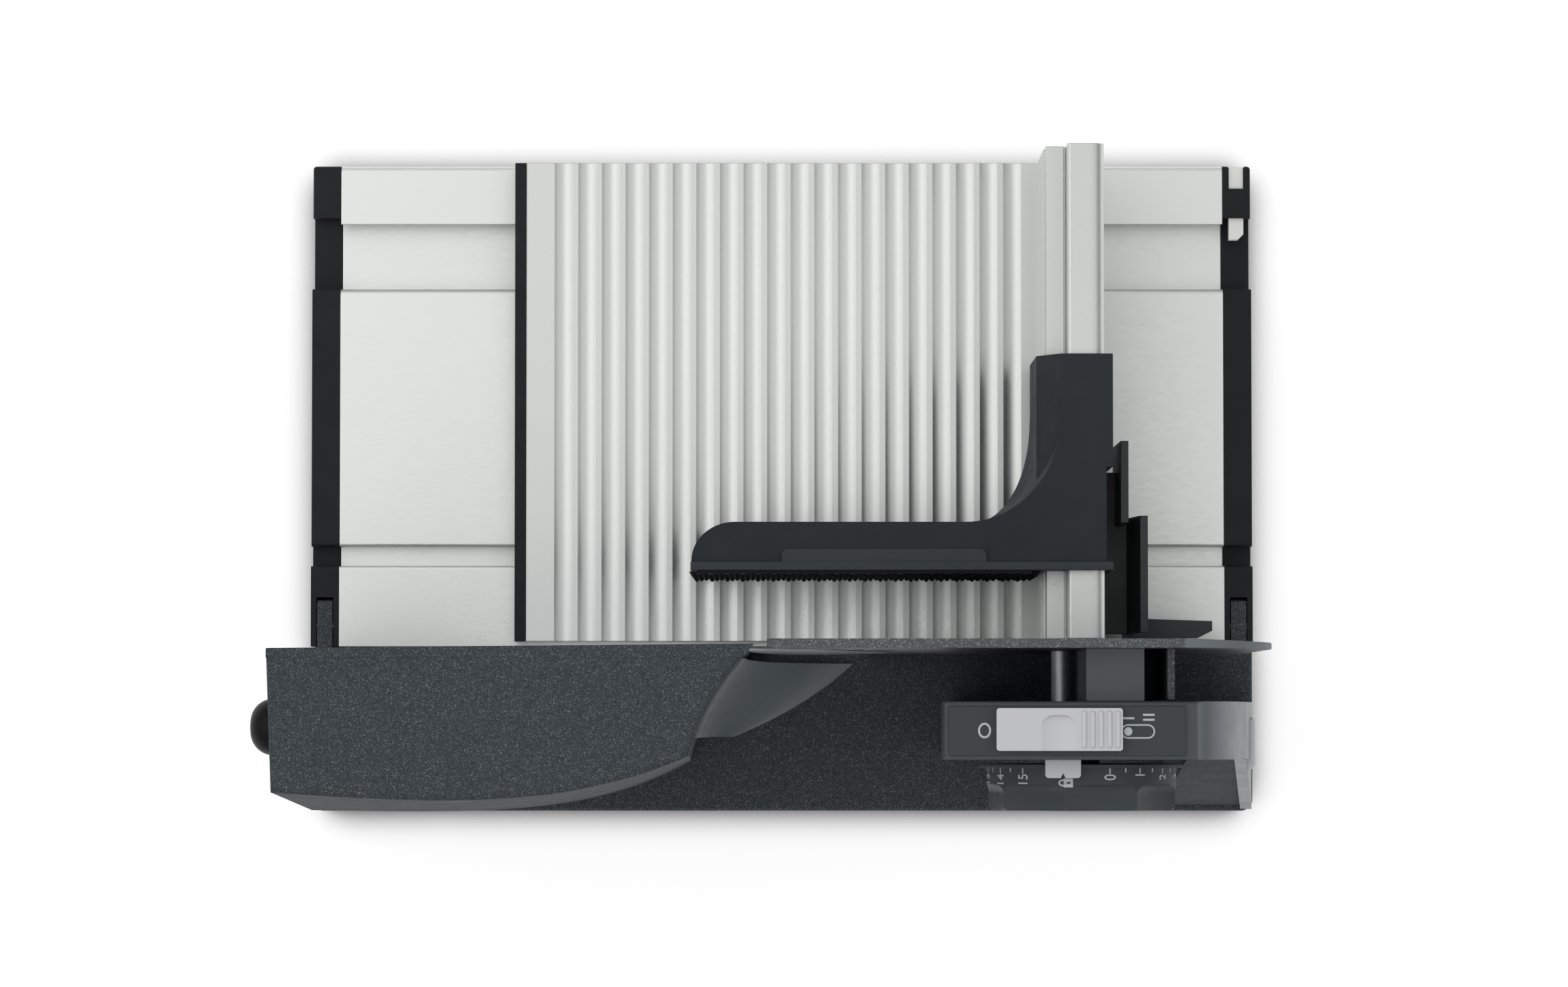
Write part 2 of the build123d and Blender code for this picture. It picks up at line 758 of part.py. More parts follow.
pieces["rear_platform"] = rearPlatform()
pieces["under_cover"] = underCover()
pieces["tower_feet"] = towerFeet()
pieces["under_cover_screws"] = underScrews()
pieces["hinge_lugs"] = hingeLugs()

# Motor housing, seen from above: a straight front, a slanted right side and a long curved back.
# The foot spreads a little behind the top.
front_wall_back = housing_front - front_wall_thick
oblique_front_x = -12.9
hood_right_x = -9.0
top_corner_x = -29.7
top_corner_y = -36.7
top_left_inset = 1.6
top_left_y = -48.3
foot_corner_x = -32.0
foot_corner_y = -39.5
foot_left_y = -56.8
side_bend_share = 0.82   # how far the slanted side's bend lies towards its rear corner
# bends of the curved back: shares of the way to the left end, and of the tower's depth
top_bend_shares = ((0.275, 0.926), (0.553, 0.930))
foot_bend_shares = ((0.254, 1.044), (0.582, 1.0105))


def sideBend(corner_x, corner_y):
    """The control point of the slanted side's curve, halfway back."""
    return (oblique_front_x + side_bend_share * (corner_x - oblique_front_x),
            (front_wall_back + corner_y) / 2)


def outlineFace(corner_x, corner_y, shares, left_x, left_y, z, inset=0):
    """The outline as a face at a height, drawn in by an inset behind the front wall."""
    front_left = (tower_left + inset, front_wall_back, z)
    front_right = (oblique_front_x - inset, front_wall_back, z)
    bend_x, bend_y = sideBend(corner_x, corner_y)
    right = (corner_x - inset, corner_y + inset, z)
    left = (left_x + inset, left_y + inset, z)
    bends = [(corner_x + along * (left_x - corner_x), depth * tower_back + inset, z) for along,
             depth in shares]
    return make_face([Line(front_left, front_right), Bezier(front_right, (bend_x - inset, bend_y, z), right),
                      Bezier(right, *bends, left), Line(left, front_left)])


def housingForm(inset=0):
    foot = outlineFace(foot_corner_x, foot_corner_y, foot_bend_shares, tower_left, foot_left_y, platform_top,
                       inset)
    top = outlineFace(top_corner_x, top_corner_y, top_bend_shares, tower_left + top_left_inset, top_left_y,
                      housing_top - inset, inset)
    return loft([foot, top], ruled=True)


def motorHousing():
    shell = housingForm()
    top_edges = [e for e in shell.edges() if e.center().Z > housing_top - overrun / 10
                 and e.center().Y < front_wall_back - overrun / 10]
    shell = fillet(top_edges, housing_top_round)
    return shell - housingForm(housing_skin)


pieces["motor_housing"] = motorHousing()


def housingFront():
    """Front wall behind the blade, with the shaft bush's seat and the hood that stands over the blade's rim."""
    wall = prismZ([(tower_left, front_wall_back), (oblique_front_x, front_wall_back),
                   (hood_right_x, hood_right_front), (tower_left, hood_left_front)], platform_top,
                   housing_top)
    wall = soften(wall, overrun / 2, Axis.Z, x=tower_left, y=hood_left_front)
    wall -= rodY(blade_x, blade_back - running_gap, overrun, blade_z, blade_radius + blade_recess)
    wall -= rodY(blade_x, recess_floor, overrun, blade_z, blade_hub_radius + overrun)
    return wall - rodY(blade_x, front_wall_back - overrun, overrun, blade_z, blade_bush_radius)


blade_back = blade_front - blade_disc_thick
recess_depth = 1.3
recess_floor = blade_back - recess_depth
scoop_toe_front_x = 25.5
scoop_toe_back_x = -17.0
scoop_toe_back_y = -30.9
# the flank's toe on the platform, as shares of its way to the left and to the back
scoop_toe_shares = ((0.0, 0.0), (0.2, 0.278), (0.391, 0.494), (0.576, 0.676), (0.76, 0.83), (1.0, 1.0))


def scoopFlare():
    """Concave flank that runs from the housing's slanted side down to the platform."""
    bend_x = sideBend(top_corner_x, top_corner_y)[0]
    sections = []
    for across, back in scoop_toe_shares:
        toe_x = scoop_toe_front_x + across * (scoop_toe_back_x - scoop_toe_front_x)
        y = front_wall_back + back * (scoop_toe_back_y - front_wall_back)
        t = (y - front_wall_back) / (top_corner_y - front_wall_back)
        # the slanted side's own curve at this depth
        side_x = (1 - t) ** 2 * oblique_front_x + 2 * t * (1 - t) * bend_x + t ** 2 * top_corner_x
        lip_x = side_x + scoop_foot / 2
        buried_x = lip_x - 2 * scoop_foot
        lip = (lip_x, y, scoop_top)
        toe_up = (toe_x, y, platform_top + scoop_foot / 2)
        straight = Polyline(lip, (buried_x, y, scoop_top), (buried_x, y, platform_top), (toe_x, y,
                                                                                         platform_top),
                            toe_up)
        sections.append(make_face(straight + Bezier(toe_up, (lip_x, y, platform_top + scoop_foot / 2), lip)))
    return loft(sections, ruled=True) - housingForm()


pieces["housing_front"] = housingFront()
pieces["scoop_flank"] = scoopFlare()


# Blade, its hub, shaft and gear wheel
motor_y = front_wall_back - motor_wall_room - motor_radius
gear_y = motor_y
shaft_back = gear_y - gear_width / 2 - motor_bearing_width


def bladeDisc():
    disc = rodY(blade_x, blade_back, blade_front, blade_z, blade_radius)
    rim = [e for e in disc.edges().filter_by(GeomType.CIRCLE) if e.center().Y > blade_front - overrun / 10]
    disc = chamfer(rim, blade_disc_thick * blade_edge_share, blade_bevel)
    disc -= rodY(blade_x, blade_back - overrun, overrun, blade_z, blade_bolt_radius)
    return disc


blade_edge_share = 0.75
bolt_slot_width = 2.4
bolt_slot_depth = 1.0


def bladeHub():
    hub_back = recess_floor + running_gap
    hub = rodY(blade_x, hub_back, blade_back, blade_z, blade_hub_radius)
    hub += rodY(blade_x, shaft_back, hub_back, blade_z, blade_shaft_radius)
    return hub - rodY(blade_x, blade_back - bolt_thread_length, overrun, blade_z, bolt_thread_radius)


bolt_thread_radius = 2.5
bolt_thread_length = 12.0


def bladeBolt():
    face = blade_front + blade_bolt_proud
    bolt = rodY(blade_x, blade_back, face, blade_z, blade_bolt_radius - shaft_gap)
    bolt = chamfer([e for e in bolt.edges().filter_by(GeomType.CIRCLE) if e.center().Y > blade_front],
                   blade_bolt_proud / 2)
    bolt -= block(blade_x - blade_bolt_radius, blade_x + blade_bolt_radius, face - bolt_slot_depth,
                  face + overrun,
                  blade_z - bolt_slot_width / 2, blade_z + bolt_slot_width / 2)
    return bolt + rodY(blade_x, blade_back - bolt_thread_length, blade_back, blade_z, bolt_thread_radius)


blade_bolt_proud = 1.0


# one tooth, as shares of its pitch and of its height
gear_tooth_shares = ((0.0, 0), (0.28, 0), (0.42, 1), (0.58, 1), (0.72, 0))


def gearWheel():
    tooth_angle = 2 * pi / gear_teeth
    root = gear_tip_radius - gear_root_depth
    points = []
    for index in range(gear_teeth):
        for share, height in gear_tooth_shares:
            angle = (index + share) * tooth_angle
            radius = root + height * gear_root_depth
            points.append((blade_x + radius * cos(angle), blade_z + radius * sin(angle)))
    wheel = prismY(points, gear_y - gear_width / 2, gear_y + gear_width / 2)
    web = rodY(blade_x, gear_y + gear_width / 4, gear_y + gear_width, blade_z, root - 2 * gear_root_depth)
    web -= rodY(blade_x, gear_y, gear_y + gear_width + overrun, blade_z, blade_shaft_radius * 2)
    wheel -= web
    return wheel - rodY(blade_x, gear_y - gear_width, gear_y + gear_width, blade_z, blade_shaft_radius)


def bladeBush():
    bush = rodY(blade_x, front_wall_back - blade_bush_length, recess_floor, blade_z, blade_bush_radius)
    return bush - rodY(blade_x, front_wall_back - blade_bush_length - overrun, housing_front + overrun,
                       blade_z,
                       blade_shaft_radius + shaft_gap)


bush_gear_room = 2.0
blade_bush_length = front_wall_back - gear_y - gear_width / 2 - bush_gear_room
pieces["blade"] = bladeDisc()
pieces["blade_hub"] = bladeHub()
pieces["blade_bolt"] = bladeBolt()
pieces["gear_wheel"] = gearWheel()
pieces["blade_bush"] = bladeBush()


# Motor, worm and fan, on an axis along X under the gear wheel
mesh_gap = 0.4
motor_z = blade_z - gear_tip_radius - worm_radius - mesh_gap
worm_left = blade_x - worm_length / 2
motor_right = worm_left - motor_worm_room
worm_right = blade_x + worm_length / 2
shaft_left = motor_left - fan_width - motor_bearing_width
shaft_right = worm_right + motor_bearing_width + seat_gap


def motorCan():
    can = rodX(motor_left, motor_right, motor_y, motor_z, motor_radius)
    can -= rodX(motor_left + can_wall, motor_right - can_wall, motor_y, motor_z, motor_radius - can_wall)
    for x0 in (motor_left, motor_right - can_wall):
        can -= rodX(x0 - overrun, x0 + can_wall + overrun, motor_y, motor_z, motor_bearing_radius)
    return can


def motorMagnets():
    outer = motor_radius - can_wall
    inner = armature_radius + magnet_gap
    ring = rodX(motor_left + 4 * can_wall, motor_right - 4 * can_wall, motor_y, motor_z, outer)
    ring -= rodX(motor_left, motor_right, motor_y, motor_z, inner)
    halves = []
    for side in (-1, 1):
        z0, z1 = sorted((motor_z + side * can_wall * 2, motor_z + side * motor_radius))
        halves.append(ring & block(motor_left, motor_right, motor_y - motor_radius, motor_y + motor_radius,
                                   z0, z1))
    return halves


def armature():
    core = rodX(motor_left + 5 * can_wall, motor_right - 7 * can_wall, motor_y, motor_z, armature_radius)
    for index in range(armature_slots):
        turn = 2 * pi * index / armature_slots
        core -= rodX(motor_left, motor_right, motor_y + armature_radius * cos(turn),
                     motor_z + armature_radius * sin(turn), armature_radius * armature_slot_share)
    core += rodX(motor_right - 7 * can_wall, motor_right - 3 * can_wall, motor_y, motor_z,
                 armature_radius / 2)
    return core - rodX(motor_left, motor_right, motor_y, motor_z, motor_shaft_radius)


armature_slots = 8
armature_slot_share = 0.235  # a winding slot's radius in the armature's


def motorShaft():
    return rodX(shaft_left, shaft_right, motor_y, motor_z, motor_shaft_radius)


def motorBearings():
    bearings = []
    for x0 in (motor_left - motor_bearing_width / 2, motor_right - motor_bearing_width / 2,
               worm_right + seat_gap):
        ring = rodX(x0, x0 + motor_bearing_width, motor_y, motor_z, motor_bearing_radius)
        ring -= rodX(x0 - overrun, x0 + motor_bearing_width + overrun, motor_y, motor_z,
                     motor_shaft_radius + shaft_gap)
        bearings.append(ring)
    return bearings


def worm():
    pitch = 2 * pi * gear_tip_radius / gear_teeth
    body = rodX(worm_left, worm_right, motor_y, motor_z, worm_core_radius)
    count = int(worm_length / pitch)
    for index in range(count):
        x = worm_left + (index + 0.5) * worm_length / count
        ridge = Pos(x, motor_y, motor_z) * Rot(0, 90, 0) * Cone(worm_radius, worm_core_radius, pitch / 3)
        body += ridge
    return body - rodX(shaft_left, shaft_right, motor_y, motor_z, motor_shaft_radius)


def coolingFan():
    x1 = motor_left - motor_bearing_width / 2 - seat_gap
    x0 = x1 - fan_width
    fan = rodX(x0, x1, motor_y, motor_z, 2 * motor_shaft_radius)
    for index in range(fan_blades):
        vane = block(x0, x1, motor_y, motor_y + fan_radius, motor_z - can_wall / 2, motor_z + can_wall / 2)
        turned = Pos(0, motor_y, motor_z) * Rot(360 / fan_blades * index, 0, 0) * Pos(0, -motor_y,
                                                                                      -motor_z) * vane
        fan += turned
    return fan - rodX(shaft_left - overrun, shaft_right, motor_y, motor_z, motor_shaft_radius)


def motorCradle():
    """Plate on the front wall's back that clamps the motor and holds the worm's end bearing."""
    back_y = motor_y - motor_radius / 2
    cradle = block(motor_left + 2 * can_wall, motor_right - 2 * can_wall, back_y, front_wall_back,
                   motor_z - motor_radius - can_wall, motor_z - motor_radius / 2)
    cradle -= rodX(motor_left - overrun, motor_right + overrun, motor_y, motor_z, motor_radius)
    post_x0 = worm_right + seat_gap
    post = block(post_x0, post_x0 + motor_bearing_width, motor_y - motor_bearing_radius - can_wall,
                 front_wall_back, motor_z - motor_bearing_radius - can_wall,
                 motor_z + motor_bearing_radius + can_wall)
    post -= rodX(post_x0 - overrun, post_x0 + motor_bearing_width + overrun, motor_y, motor_z,
                 motor_bearing_radius)
    return [cradle, post]


pieces["motor_can"] = motorCan()
pieces["motor_magnets"] = motorMagnets()
pieces["motor_armature"] = armature()
pieces["motor_shaft"] = motorShaft()
pieces["motor_bearings"] = motorBearings()
pieces["worm"] = worm()
pieces["cooling_fan"] = coolingFan()
pieces["motor_cradle"] = motorCradle()


# Stop plate with its guide rod and guide block
stop_back = stop_front - stop_thick
plate_left_x = -4.8


def stopPlate():
    reach = blade_radius + stop_gap
    plate = prismZ([(blade_x, stop_front), (stop_bend_x, stop_front), (stop_right,
                                                                       stop_front - stop_bend_front),
                    (stop_right, stop_back - stop_bend_back), (stop_bend_x, stop_back), (blade_x, stop_back)],
                   stop_bottom, stop_top)
    for y in (stop_front - stop_bend_front, stop_back - stop_bend_back):
        plate = soften(plate, stop_end_round, Axis.Z, x=stop_right, y=y)
    outline = block(blade_x, stop_right, stop_back - 3 * overrun, stop_front + overrun, stop_bottom, stop_top)
    outline = soften(outline, stop_corner, Axis.Y, x=stop_right, z=stop_top)
    outline = soften(outline, stop_corner / 3, Axis.Y, x=stop_right, z=stop_bottom)
    plate = plate & outline
    plate -= rodY(blade_x, stop_back - overrun, stop_front + overrun, blade_z, reach)
    plate -= block(blade_x - overrun, plate_left_x, stop_back - overrun, stop_front + overrun, blade_z,
                   stop_top * 2)
    # clear of the flank's foot, which it passes when it moves back
    plate -= block(blade_x - overrun, foot_left_x, stop_back - overrun, stop_front + overrun, 0, blade_z)
    for index in range(stop_grooves):
        z = stop_bottom + (stop_top - stop_bottom) * (index + 1) / (stop_grooves + 1)
        plate -= block(blade_x, stop_bend_x, stop_front - stop_groove_depth, stop_front + overrun,
                       z - stop_groove_width / 2, z + stop_groove_width / 2)
    return plate + block(rib_left, rib_left + rib_thick, stop_back - rib_length, stop_back, rib_bottom,
                         block_top)


foot_left_x = scoop_toe_front_x + 2 * overrun
stop_grooves = 16
stop_groove_width = 4.0
stop_groove_depth = 0.5
guide_back = stop_back - rod_length


def guideRod():
    rod = rodY(rod_x_place, guide_back, stop_back, rod_z_place, rod_radius)
    return chamfer([e for e in rod.edges().filter_by(GeomType.CIRCLE) if e.center().Y < guide_back + overrun / 10],
                   shaft_gap * 10)


def guideBlock():
    foot_y = stop_back - block_length
    guide = block(block_left, block_right, foot_y, stop_back, block_bottom, block_top)
    room = block(block_left + skin, block_right - skin, foot_y - overrun, stop_back - skin,
                 block_bottom + skin, block_top - skin)
    return guide - room


pieces["stop_plate"] = stopPlate()
pieces["guide_rod"] = guideRod()
pieces["guide_block"] = guideBlock()


# Control head: front shell with the sloping column, back cover, top panel
def headFace(inset=0):
    """Front view of the head and its column, drawn in by an inset."""
    right = column_right - inset
    top = head_top - inset
    left = head_left + inset
    lines = Polyline((right, 0, column_shoulder_z), (column_foot_right - inset, 0, platform_top),
                     (left + head_lean, 0, platform_top), (left, 0, head_lean_z), (left, 0, top),
                     (head_right - inset / 2, 0, top))
    shoulder = Bezier((head_right - inset / 2, 0, top), (column_bulge - inset, 0, top - column_bulge_drop),
                      (right, 0, column_shoulder_z))
    return make_face(lines + shoulder)


back_cover_front = head_back + head_skin
safety_inner = column_right - 5 * head_skin


def safetyRoom():
    """The room that the safety button slides in."""
    half_y = safety_width / 2 + running_gap
    half_z = safety_height / 2 + running_gap
    return block(safety_inner - safety_travel - running_gap, column_right + 3 * head_skin, safety_y - half_y,
                 safety_y + half_y, safety_z - half_z, safety_z + half_z)


def controlHousing():
    outer = Pos(0, head_back, 0) * extrude(headFace(), amount=head_front - head_back, dir=(0, 1, 0))
    outer = soften(outer, head_bevel, Axis.X, y=head_front, z=head_top)
    room = Pos(0, head_back - overrun, 0) * extrude(headFace(head_skin),
                                                    amount=head_front - head_skin - head_back
                                                    + overrun, dir=(0, 1, 0))
    shell = outer - room
    gap = running_gap
    shell -= block(block_left - gap, block_right + gap, head_front - head_skin - overrun,
                   head_front + overrun,
                   block_bottom - gap, block_top + gap)
    shell -= rodY(rod_x_place, head_front - head_skin - overrun, head_front + overrun, rod_z_place,
                  rod_radius + shaft_gap)
    shell -= block(stem_left - gap, stem_right + slider_travel + gap, stem_back - gap, stem_front + gap,
                   head_top - head_skin - overrun, head_top + overrun)
    shell -= block(rib_left - gap, rib_left + rib_thick + gap, head_front - head_skin - overrun,
                   head_front + overrun, rib_bottom - gap, block_top + gap)
    # the fin that carries the column's right side on behind it
    fin = prismX([(head_back, platform_top), (head_back, fin_top), (fin_back, platform_top)], head_right,
                 column_foot_right + overrun)
    fin &= prismY([(fin_top_left, fin_top), (fin_top_left + fin_width, fin_top), (column_foot_right,
                                                                                  platform_top),
                   (column_foot_right - fin_width, platform_top)], fin_back - overrun, head_back)
    return shell + fin - safetyRoom()


fin_top = 150.0
fin_back = -56.4
fin_width = 4.0
fin_top_left = 150.0
stem_inset = 14.0
stem_length = 10.0
stem_left = slider_left + stem_inset
stem_right = stem_left + stem_length
stem_mid_y = (slider_front + slider_back) / 2
stem_width = 4.0
stem_front = stem_mid_y + stem_width / 2
stem_back = stem_mid_y - stem_width / 2
skirt_back = -55.0
skirt_step = 0.1         # the skirt ends just short of the fin


def controlBack():
    plate = Pos(0, head_back, 0) * extrude(headFace(head_skin), amount=head_skin, dir=(0, 1, 0))
    plate -= rodY(dial_x, head_back - overrun, back_cover_front + overrun, dial_z, spindle_radius + shaft_gap)
    plate -= rodY(rod_x_place, head_back - overrun, back_cover_front + overrun, rod_z_place,
                  rod_radius + shaft_gap)
    skirt = prismX([(head_back, platform_top), (head_back, fin_top), (skirt_back, platform_top)],
                   dial_x + dial_flange + overrun, column_foot_right)
    skirt &= prismY([(head_left, platform_top), (head_left, fin_top), (fin_top_left - skirt_step, fin_top),
                     (column_foot_right - fin_width - skirt_step, platform_top)], skirt_back - overrun,
                     head_back)
    return plate + skirt - safetyRoom()


def switchPanel():
    panel = block(head_left + panel_inset, head_right - panel_end_inset, head_back + panel_inset,
                  head_front - panel_inset, head_top, head_top + panel_rise)
    panel = soften(panel, panel_rise / 2, Axis.X, y=head_front - panel_inset, z=head_top + panel_rise)
    return panel - block(stem_left - running_gap, stem_right + slider_travel + running_gap,
                         stem_back - running_gap,
                         stem_front + running_gap, head_top - overrun, head_top + panel_rise + overrun)


def switchSlider():
    z0 = head_top + panel_rise + running_gap
    z1 = z0 + slider_height
    slider = block(slider_left, slider_right, slider_back, slider_front, z0, z1)
    slider = soften(slider, overrun, Axis.Z, x=slider_left, y=slider_front)
    slider = soften(slider, overrun, Axis.Z, x=slider_left, y=slider_back)
    slider = soften(slider, overrun, Axis.Z, x=slider_right, y=slider_front)
    slider = soften(slider, overrun, Axis.Z, x=slider_right, y=slider_back)
    dent_radius = (dent_width ** 2 / 4 + dent_depth ** 2) / (2 * dent_depth)
    dent_x = slider_left + (slider_right - slider_left) * dent_share
    dent = rodY(dent_x, slider_back - overrun, slider_front - dent_rim * 2, z1 - dent_depth + dent_radius,
                dent_radius)
    arch = block(dent_x - dent_width / 2, dent_x + dent_width / 2, slider_back - overrun,
                 slider_front - dent_rim * 2,
                 z0, z1 + overrun)
    for x in (dent_x - dent_width / 2, dent_x + dent_width / 2):
        arch = soften(arch, dent_corner, Axis.Z, x=x, y=slider_front - dent_rim * 2)
    slider -= dent & arch
    for index in range(slider_ribs):
        x = slider_right - slider_rib_inset - slider_rib_pitch * index
        slider += rodY(x, slider_back + dent_rim, slider_front - dent_rim, z1, slider_rib_sink)
    return slider + block(stem_left, stem_right, stem_back, stem_front, head_top - head_skin + seat_gap, z0)


dent_width = 10.8
dent_depth = 1.2
dent_share = 0.49
dent_rim = 1.2
dent_corner = 3.7


def microSwitch():
    z1 = head_top - head_skin
    return block(stem_left - skin, stem_right + slider_travel + skin, back_cover_front + skin,
                 head_front - head_skin - overrun, z1 - switch_depth, z1)


def circuitBoard():
    """The switch's board on the back cover, with a row of parts on it."""
    x0 = head_left + head_lean + head_skin + overrun
    board_face = back_cover_front + board_thick
    board = block(x0, x0 + board_width, back_cover_front, board_face, platform_top + switch_depth,
                  block_bottom + switch_depth)
    for index in range(board_parts):
        z = platform_top + switch_depth * (index + 3 / 2)
        board += block(x0 + 3 * overrun, x0 + board_width - 4 * overrun, board_face,
                       board_face + board_thick * (3 + index % 2), z, z + switch_depth / 2)
    return board


board_width = 22.0
board_parts = 4
pieces["control_housing"] = controlHousing()
pieces["control_back"] = controlBack()
pieces["switch_panel"] = switchPanel()
pieces["switch_slider"] = switchSlider()
pieces["micro_switch"] = microSwitch()
pieces["circuit_board"] = circuitBoard()


# Thickness dial, its spindle and the index tab
def thicknessDial():
    dial = rodY(dial_x, dial_back, dial_front, dial_z, dial_radius)
    dial = chamfer([e for e in dial.edges().filter_by(GeomType.CIRCLE) if e.center().Y < dial_back + overrun / 10],
                   overrun)
    dial += rodY(dial_x, dial_front - dial_flange_thick, dial_front, dial_z, dial_flange)
    half = pi / dial_scallops
    chord = dial_radius * sin(half)
    scallop_radius = (chord ** 2 + dial_scallop_hollow ** 2) / (2 * dial_scallop_hollow)
    out = dial_radius * cos(half) - dial_scallop_hollow + scallop_radius
    for index in range(dial_scallops):
        turn = radians(dial_ridge_turn) + 2 * half * (index + 0.5)
        cutter = rodY(dial_x + out * sin(turn), dial_back - overrun, dial_grip_front,
                      dial_z + out * cos(turn),
                      scallop_radius)
        rim = [e for e in cutter.edges().filter_by(GeomType.CIRCLE) if e.center().Y > dial_back]
        dial -= fillet(rim, dial_scallop_round)
    dial -= rodY(dial_x, dial_back + dial_skin, dial_front + overrun, dial_z,
                 dial_radius - dial_skin - dial_scallop_hollow * 3)
    return dial


spindle_front = back_cover_front - spindle_inset


def dialSpindle():
    return rodY(dial_x, dial_back + dial_skin, spindle_front, dial_z, spindle_radius)


def indexTab():
    z0 = dial_z + dial_flange + running_gap
    y_mid = tab_back + tab_notch
    left = tab_x - tab_width / 2
    right = tab_x + tab_width / 2
    points = [(left, head_back), (left, tab_back), (tab_x - tab_notch / 2, tab_back), (tab_x, y_mid),
              (tab_x + tab_notch / 2, tab_back), (right, tab_back), (right, head_back)]
    tab = prismZ(points, z0, z0 + tab_thick)
    for x in (left, right):
        tab = soften(tab, tab_corner, Axis.Z, x=x, y=tab_back)
    return tab


pieces["thickness_dial"] = thicknessDial()
pieces["dial_spindle"] = dialSpindle()
pieces["index_tab"] = indexTab()


# Side buttons and their springs
safety_face = column_right - safety_set_back


def safetyButton():
    y0 = safety_y - safety_width / 2
    y1 = safety_y + safety_width / 2
    z0 = safety_z - safety_height / 2
    z1 = safety_z + safety_height / 2
    button = block(safety_inner, safety_face, y0, y1, z0, z1)
    for z in (z0, z1):
        button = soften(button, safety_round, Axis.Y, x=safety_face, z=z)
    for y in (y0, y1):
        button = soften(button, safety_round, Axis.Z, x=safety_face, y=y)
    return button


def safetySpring():
    x0 = safety_inner - spring_length
    spring = rodX(x0, safety_inner, safety_spring_y, safety_z, spring_radius)
    return spring - rodX(x0 - overrun, safety_inner + overrun, safety_spring_y, safety_z,
                         spring_radius - spring_wire)


def safetyGuide():
    """Bracket from the back cover that the spring leans on."""
    x1 = safety_inner - spring_length
    return block(x1 - skin, x1, back_cover_front, safety_y + safety_width / 2, safety_z - safety_height / 2,
                 safety_z + safety_height / 2)


spring_length = 9.0
spring_radius = 3.5
spring_wire = 0.8
safety_spring_y = back_cover_front + spring_radius + seat_gap
knob_face = tower_left - knob_proud
knob_bore = knob_stem_radius + running_gap


def releaseKnob():
    knob = rodX(knob_face, tower_left - knob_travel - seat_gap, knob_y, knob_z, knob_radius)
    rim = [e for e in knob.edges().filter_by(GeomType.CIRCLE) if e.center().X < knob_face + overrun / 10]
    knob = fillet(rim, knob_rim_round)
    return knob + rodX(tower_left - knob_travel - seat_gap, tower_left + knob_stem_in, knob_y, knob_z,
                       knob_stem_radius)


knob_rim_round = 8.0
knob_stem_in = 6.0


def knobSpring():
    x0 = tower_left + knob_stem_in
    spring = rodX(x0, x0 + spring_length, knob_y, knob_z, spring_radius)
    return spring - rodX(x0 - overrun, x0 + spring_length + overrun, knob_y, knob_z,
                         spring_radius - spring_wire)


def knobBracket():
    x0 = tower_left + knob_stem_in + spring_length
    return block(x0, x0 + skin, knob_y - knob_radius, front_wall_back, knob_z - spring_radius - overrun,
                 knob_z + spring_radius / 2)


pieces["safety_button"] = safetyButton()
pieces["safety_spring"] = safetySpring()
pieces["safety_bracket"] = safetyGuide()
pieces["fold_release_knob"] = releaseKnob()
pieces["knob_spring"] = knobSpring()
pieces["knob_bracket"] = knobBracket()
pieces["motor_housing"] -= rodX(tower_left - overrun, tower_left + 3 * housing_skin, knob_y, knob_z,
                                knob_bore)


def cableInlet():
    inner = tower_back + platform_skin
    ring = rodY(inlet_x, inner, inner + inlet_lip, inlet_z, inlet_radius + inlet_lip)
    ring += rodY(inlet_x, tower_back, inner, inlet_z, inlet_radius)
    return ring - rodY(inlet_x, tower_back - overrun, inner + 2 * inlet_lip, inlet_z, inlet_bore)


inlet_inset = 46.0       # from the tower's left side
inlet_x = tower_left + inlet_inset
inlet_z = 15.0
inlet_radius = 6.0
inlet_lip = 1.5
inlet_bore = 3.6
pieces["cable_inlet"] = cableInlet()
pieces["rear_platform"] -= rodY(inlet_x, tower_back - overrun, tower_back + platform_skin + overrun, inlet_z,
                                inlet_radius)


# Written out about the middle of the footprint
boxes = []
for shape in pieces.values():
    for one in shape if isinstance(shape, list) else [shape]:
        boxes.append(one.bounding_box())
low_x = min(box.min.X for box in boxes)
high_x = max(box.max.X for box in boxes)
low_y = min(box.min.Y for box in boxes)
high_y = max(box.max.Y for box in boxes)
high_z = max(box.max.Z for box in boxes)
middle_x = (low_x + high_x) / 2
middle_y = (low_y + high_y) / 2
to_origin = Pos(-middle_x, -middle_y, 0)
os.makedirs("parts", exist_ok=True)
for name, shape in pieces.items():
    solids = [solid for one in (shape if isinstance(shape, list) else [shape]) for solid in one.solids()]
    moved = [to_origin * solid for solid in solids]
    out = moved[0] if len(moved) == 1 else Compound(moved)
    export_step(out, f"parts/{name}.step")
print("middle of the footprint", round(middle_x, 3), round(middle_y, 3))
print("pusher travel", -pusher_travel_in, pusher_travel_out, "dial turn", stop_turn)
print("overall", round(high_x - low_x, 1), round(high_y - low_y, 1), round(high_z, 1))
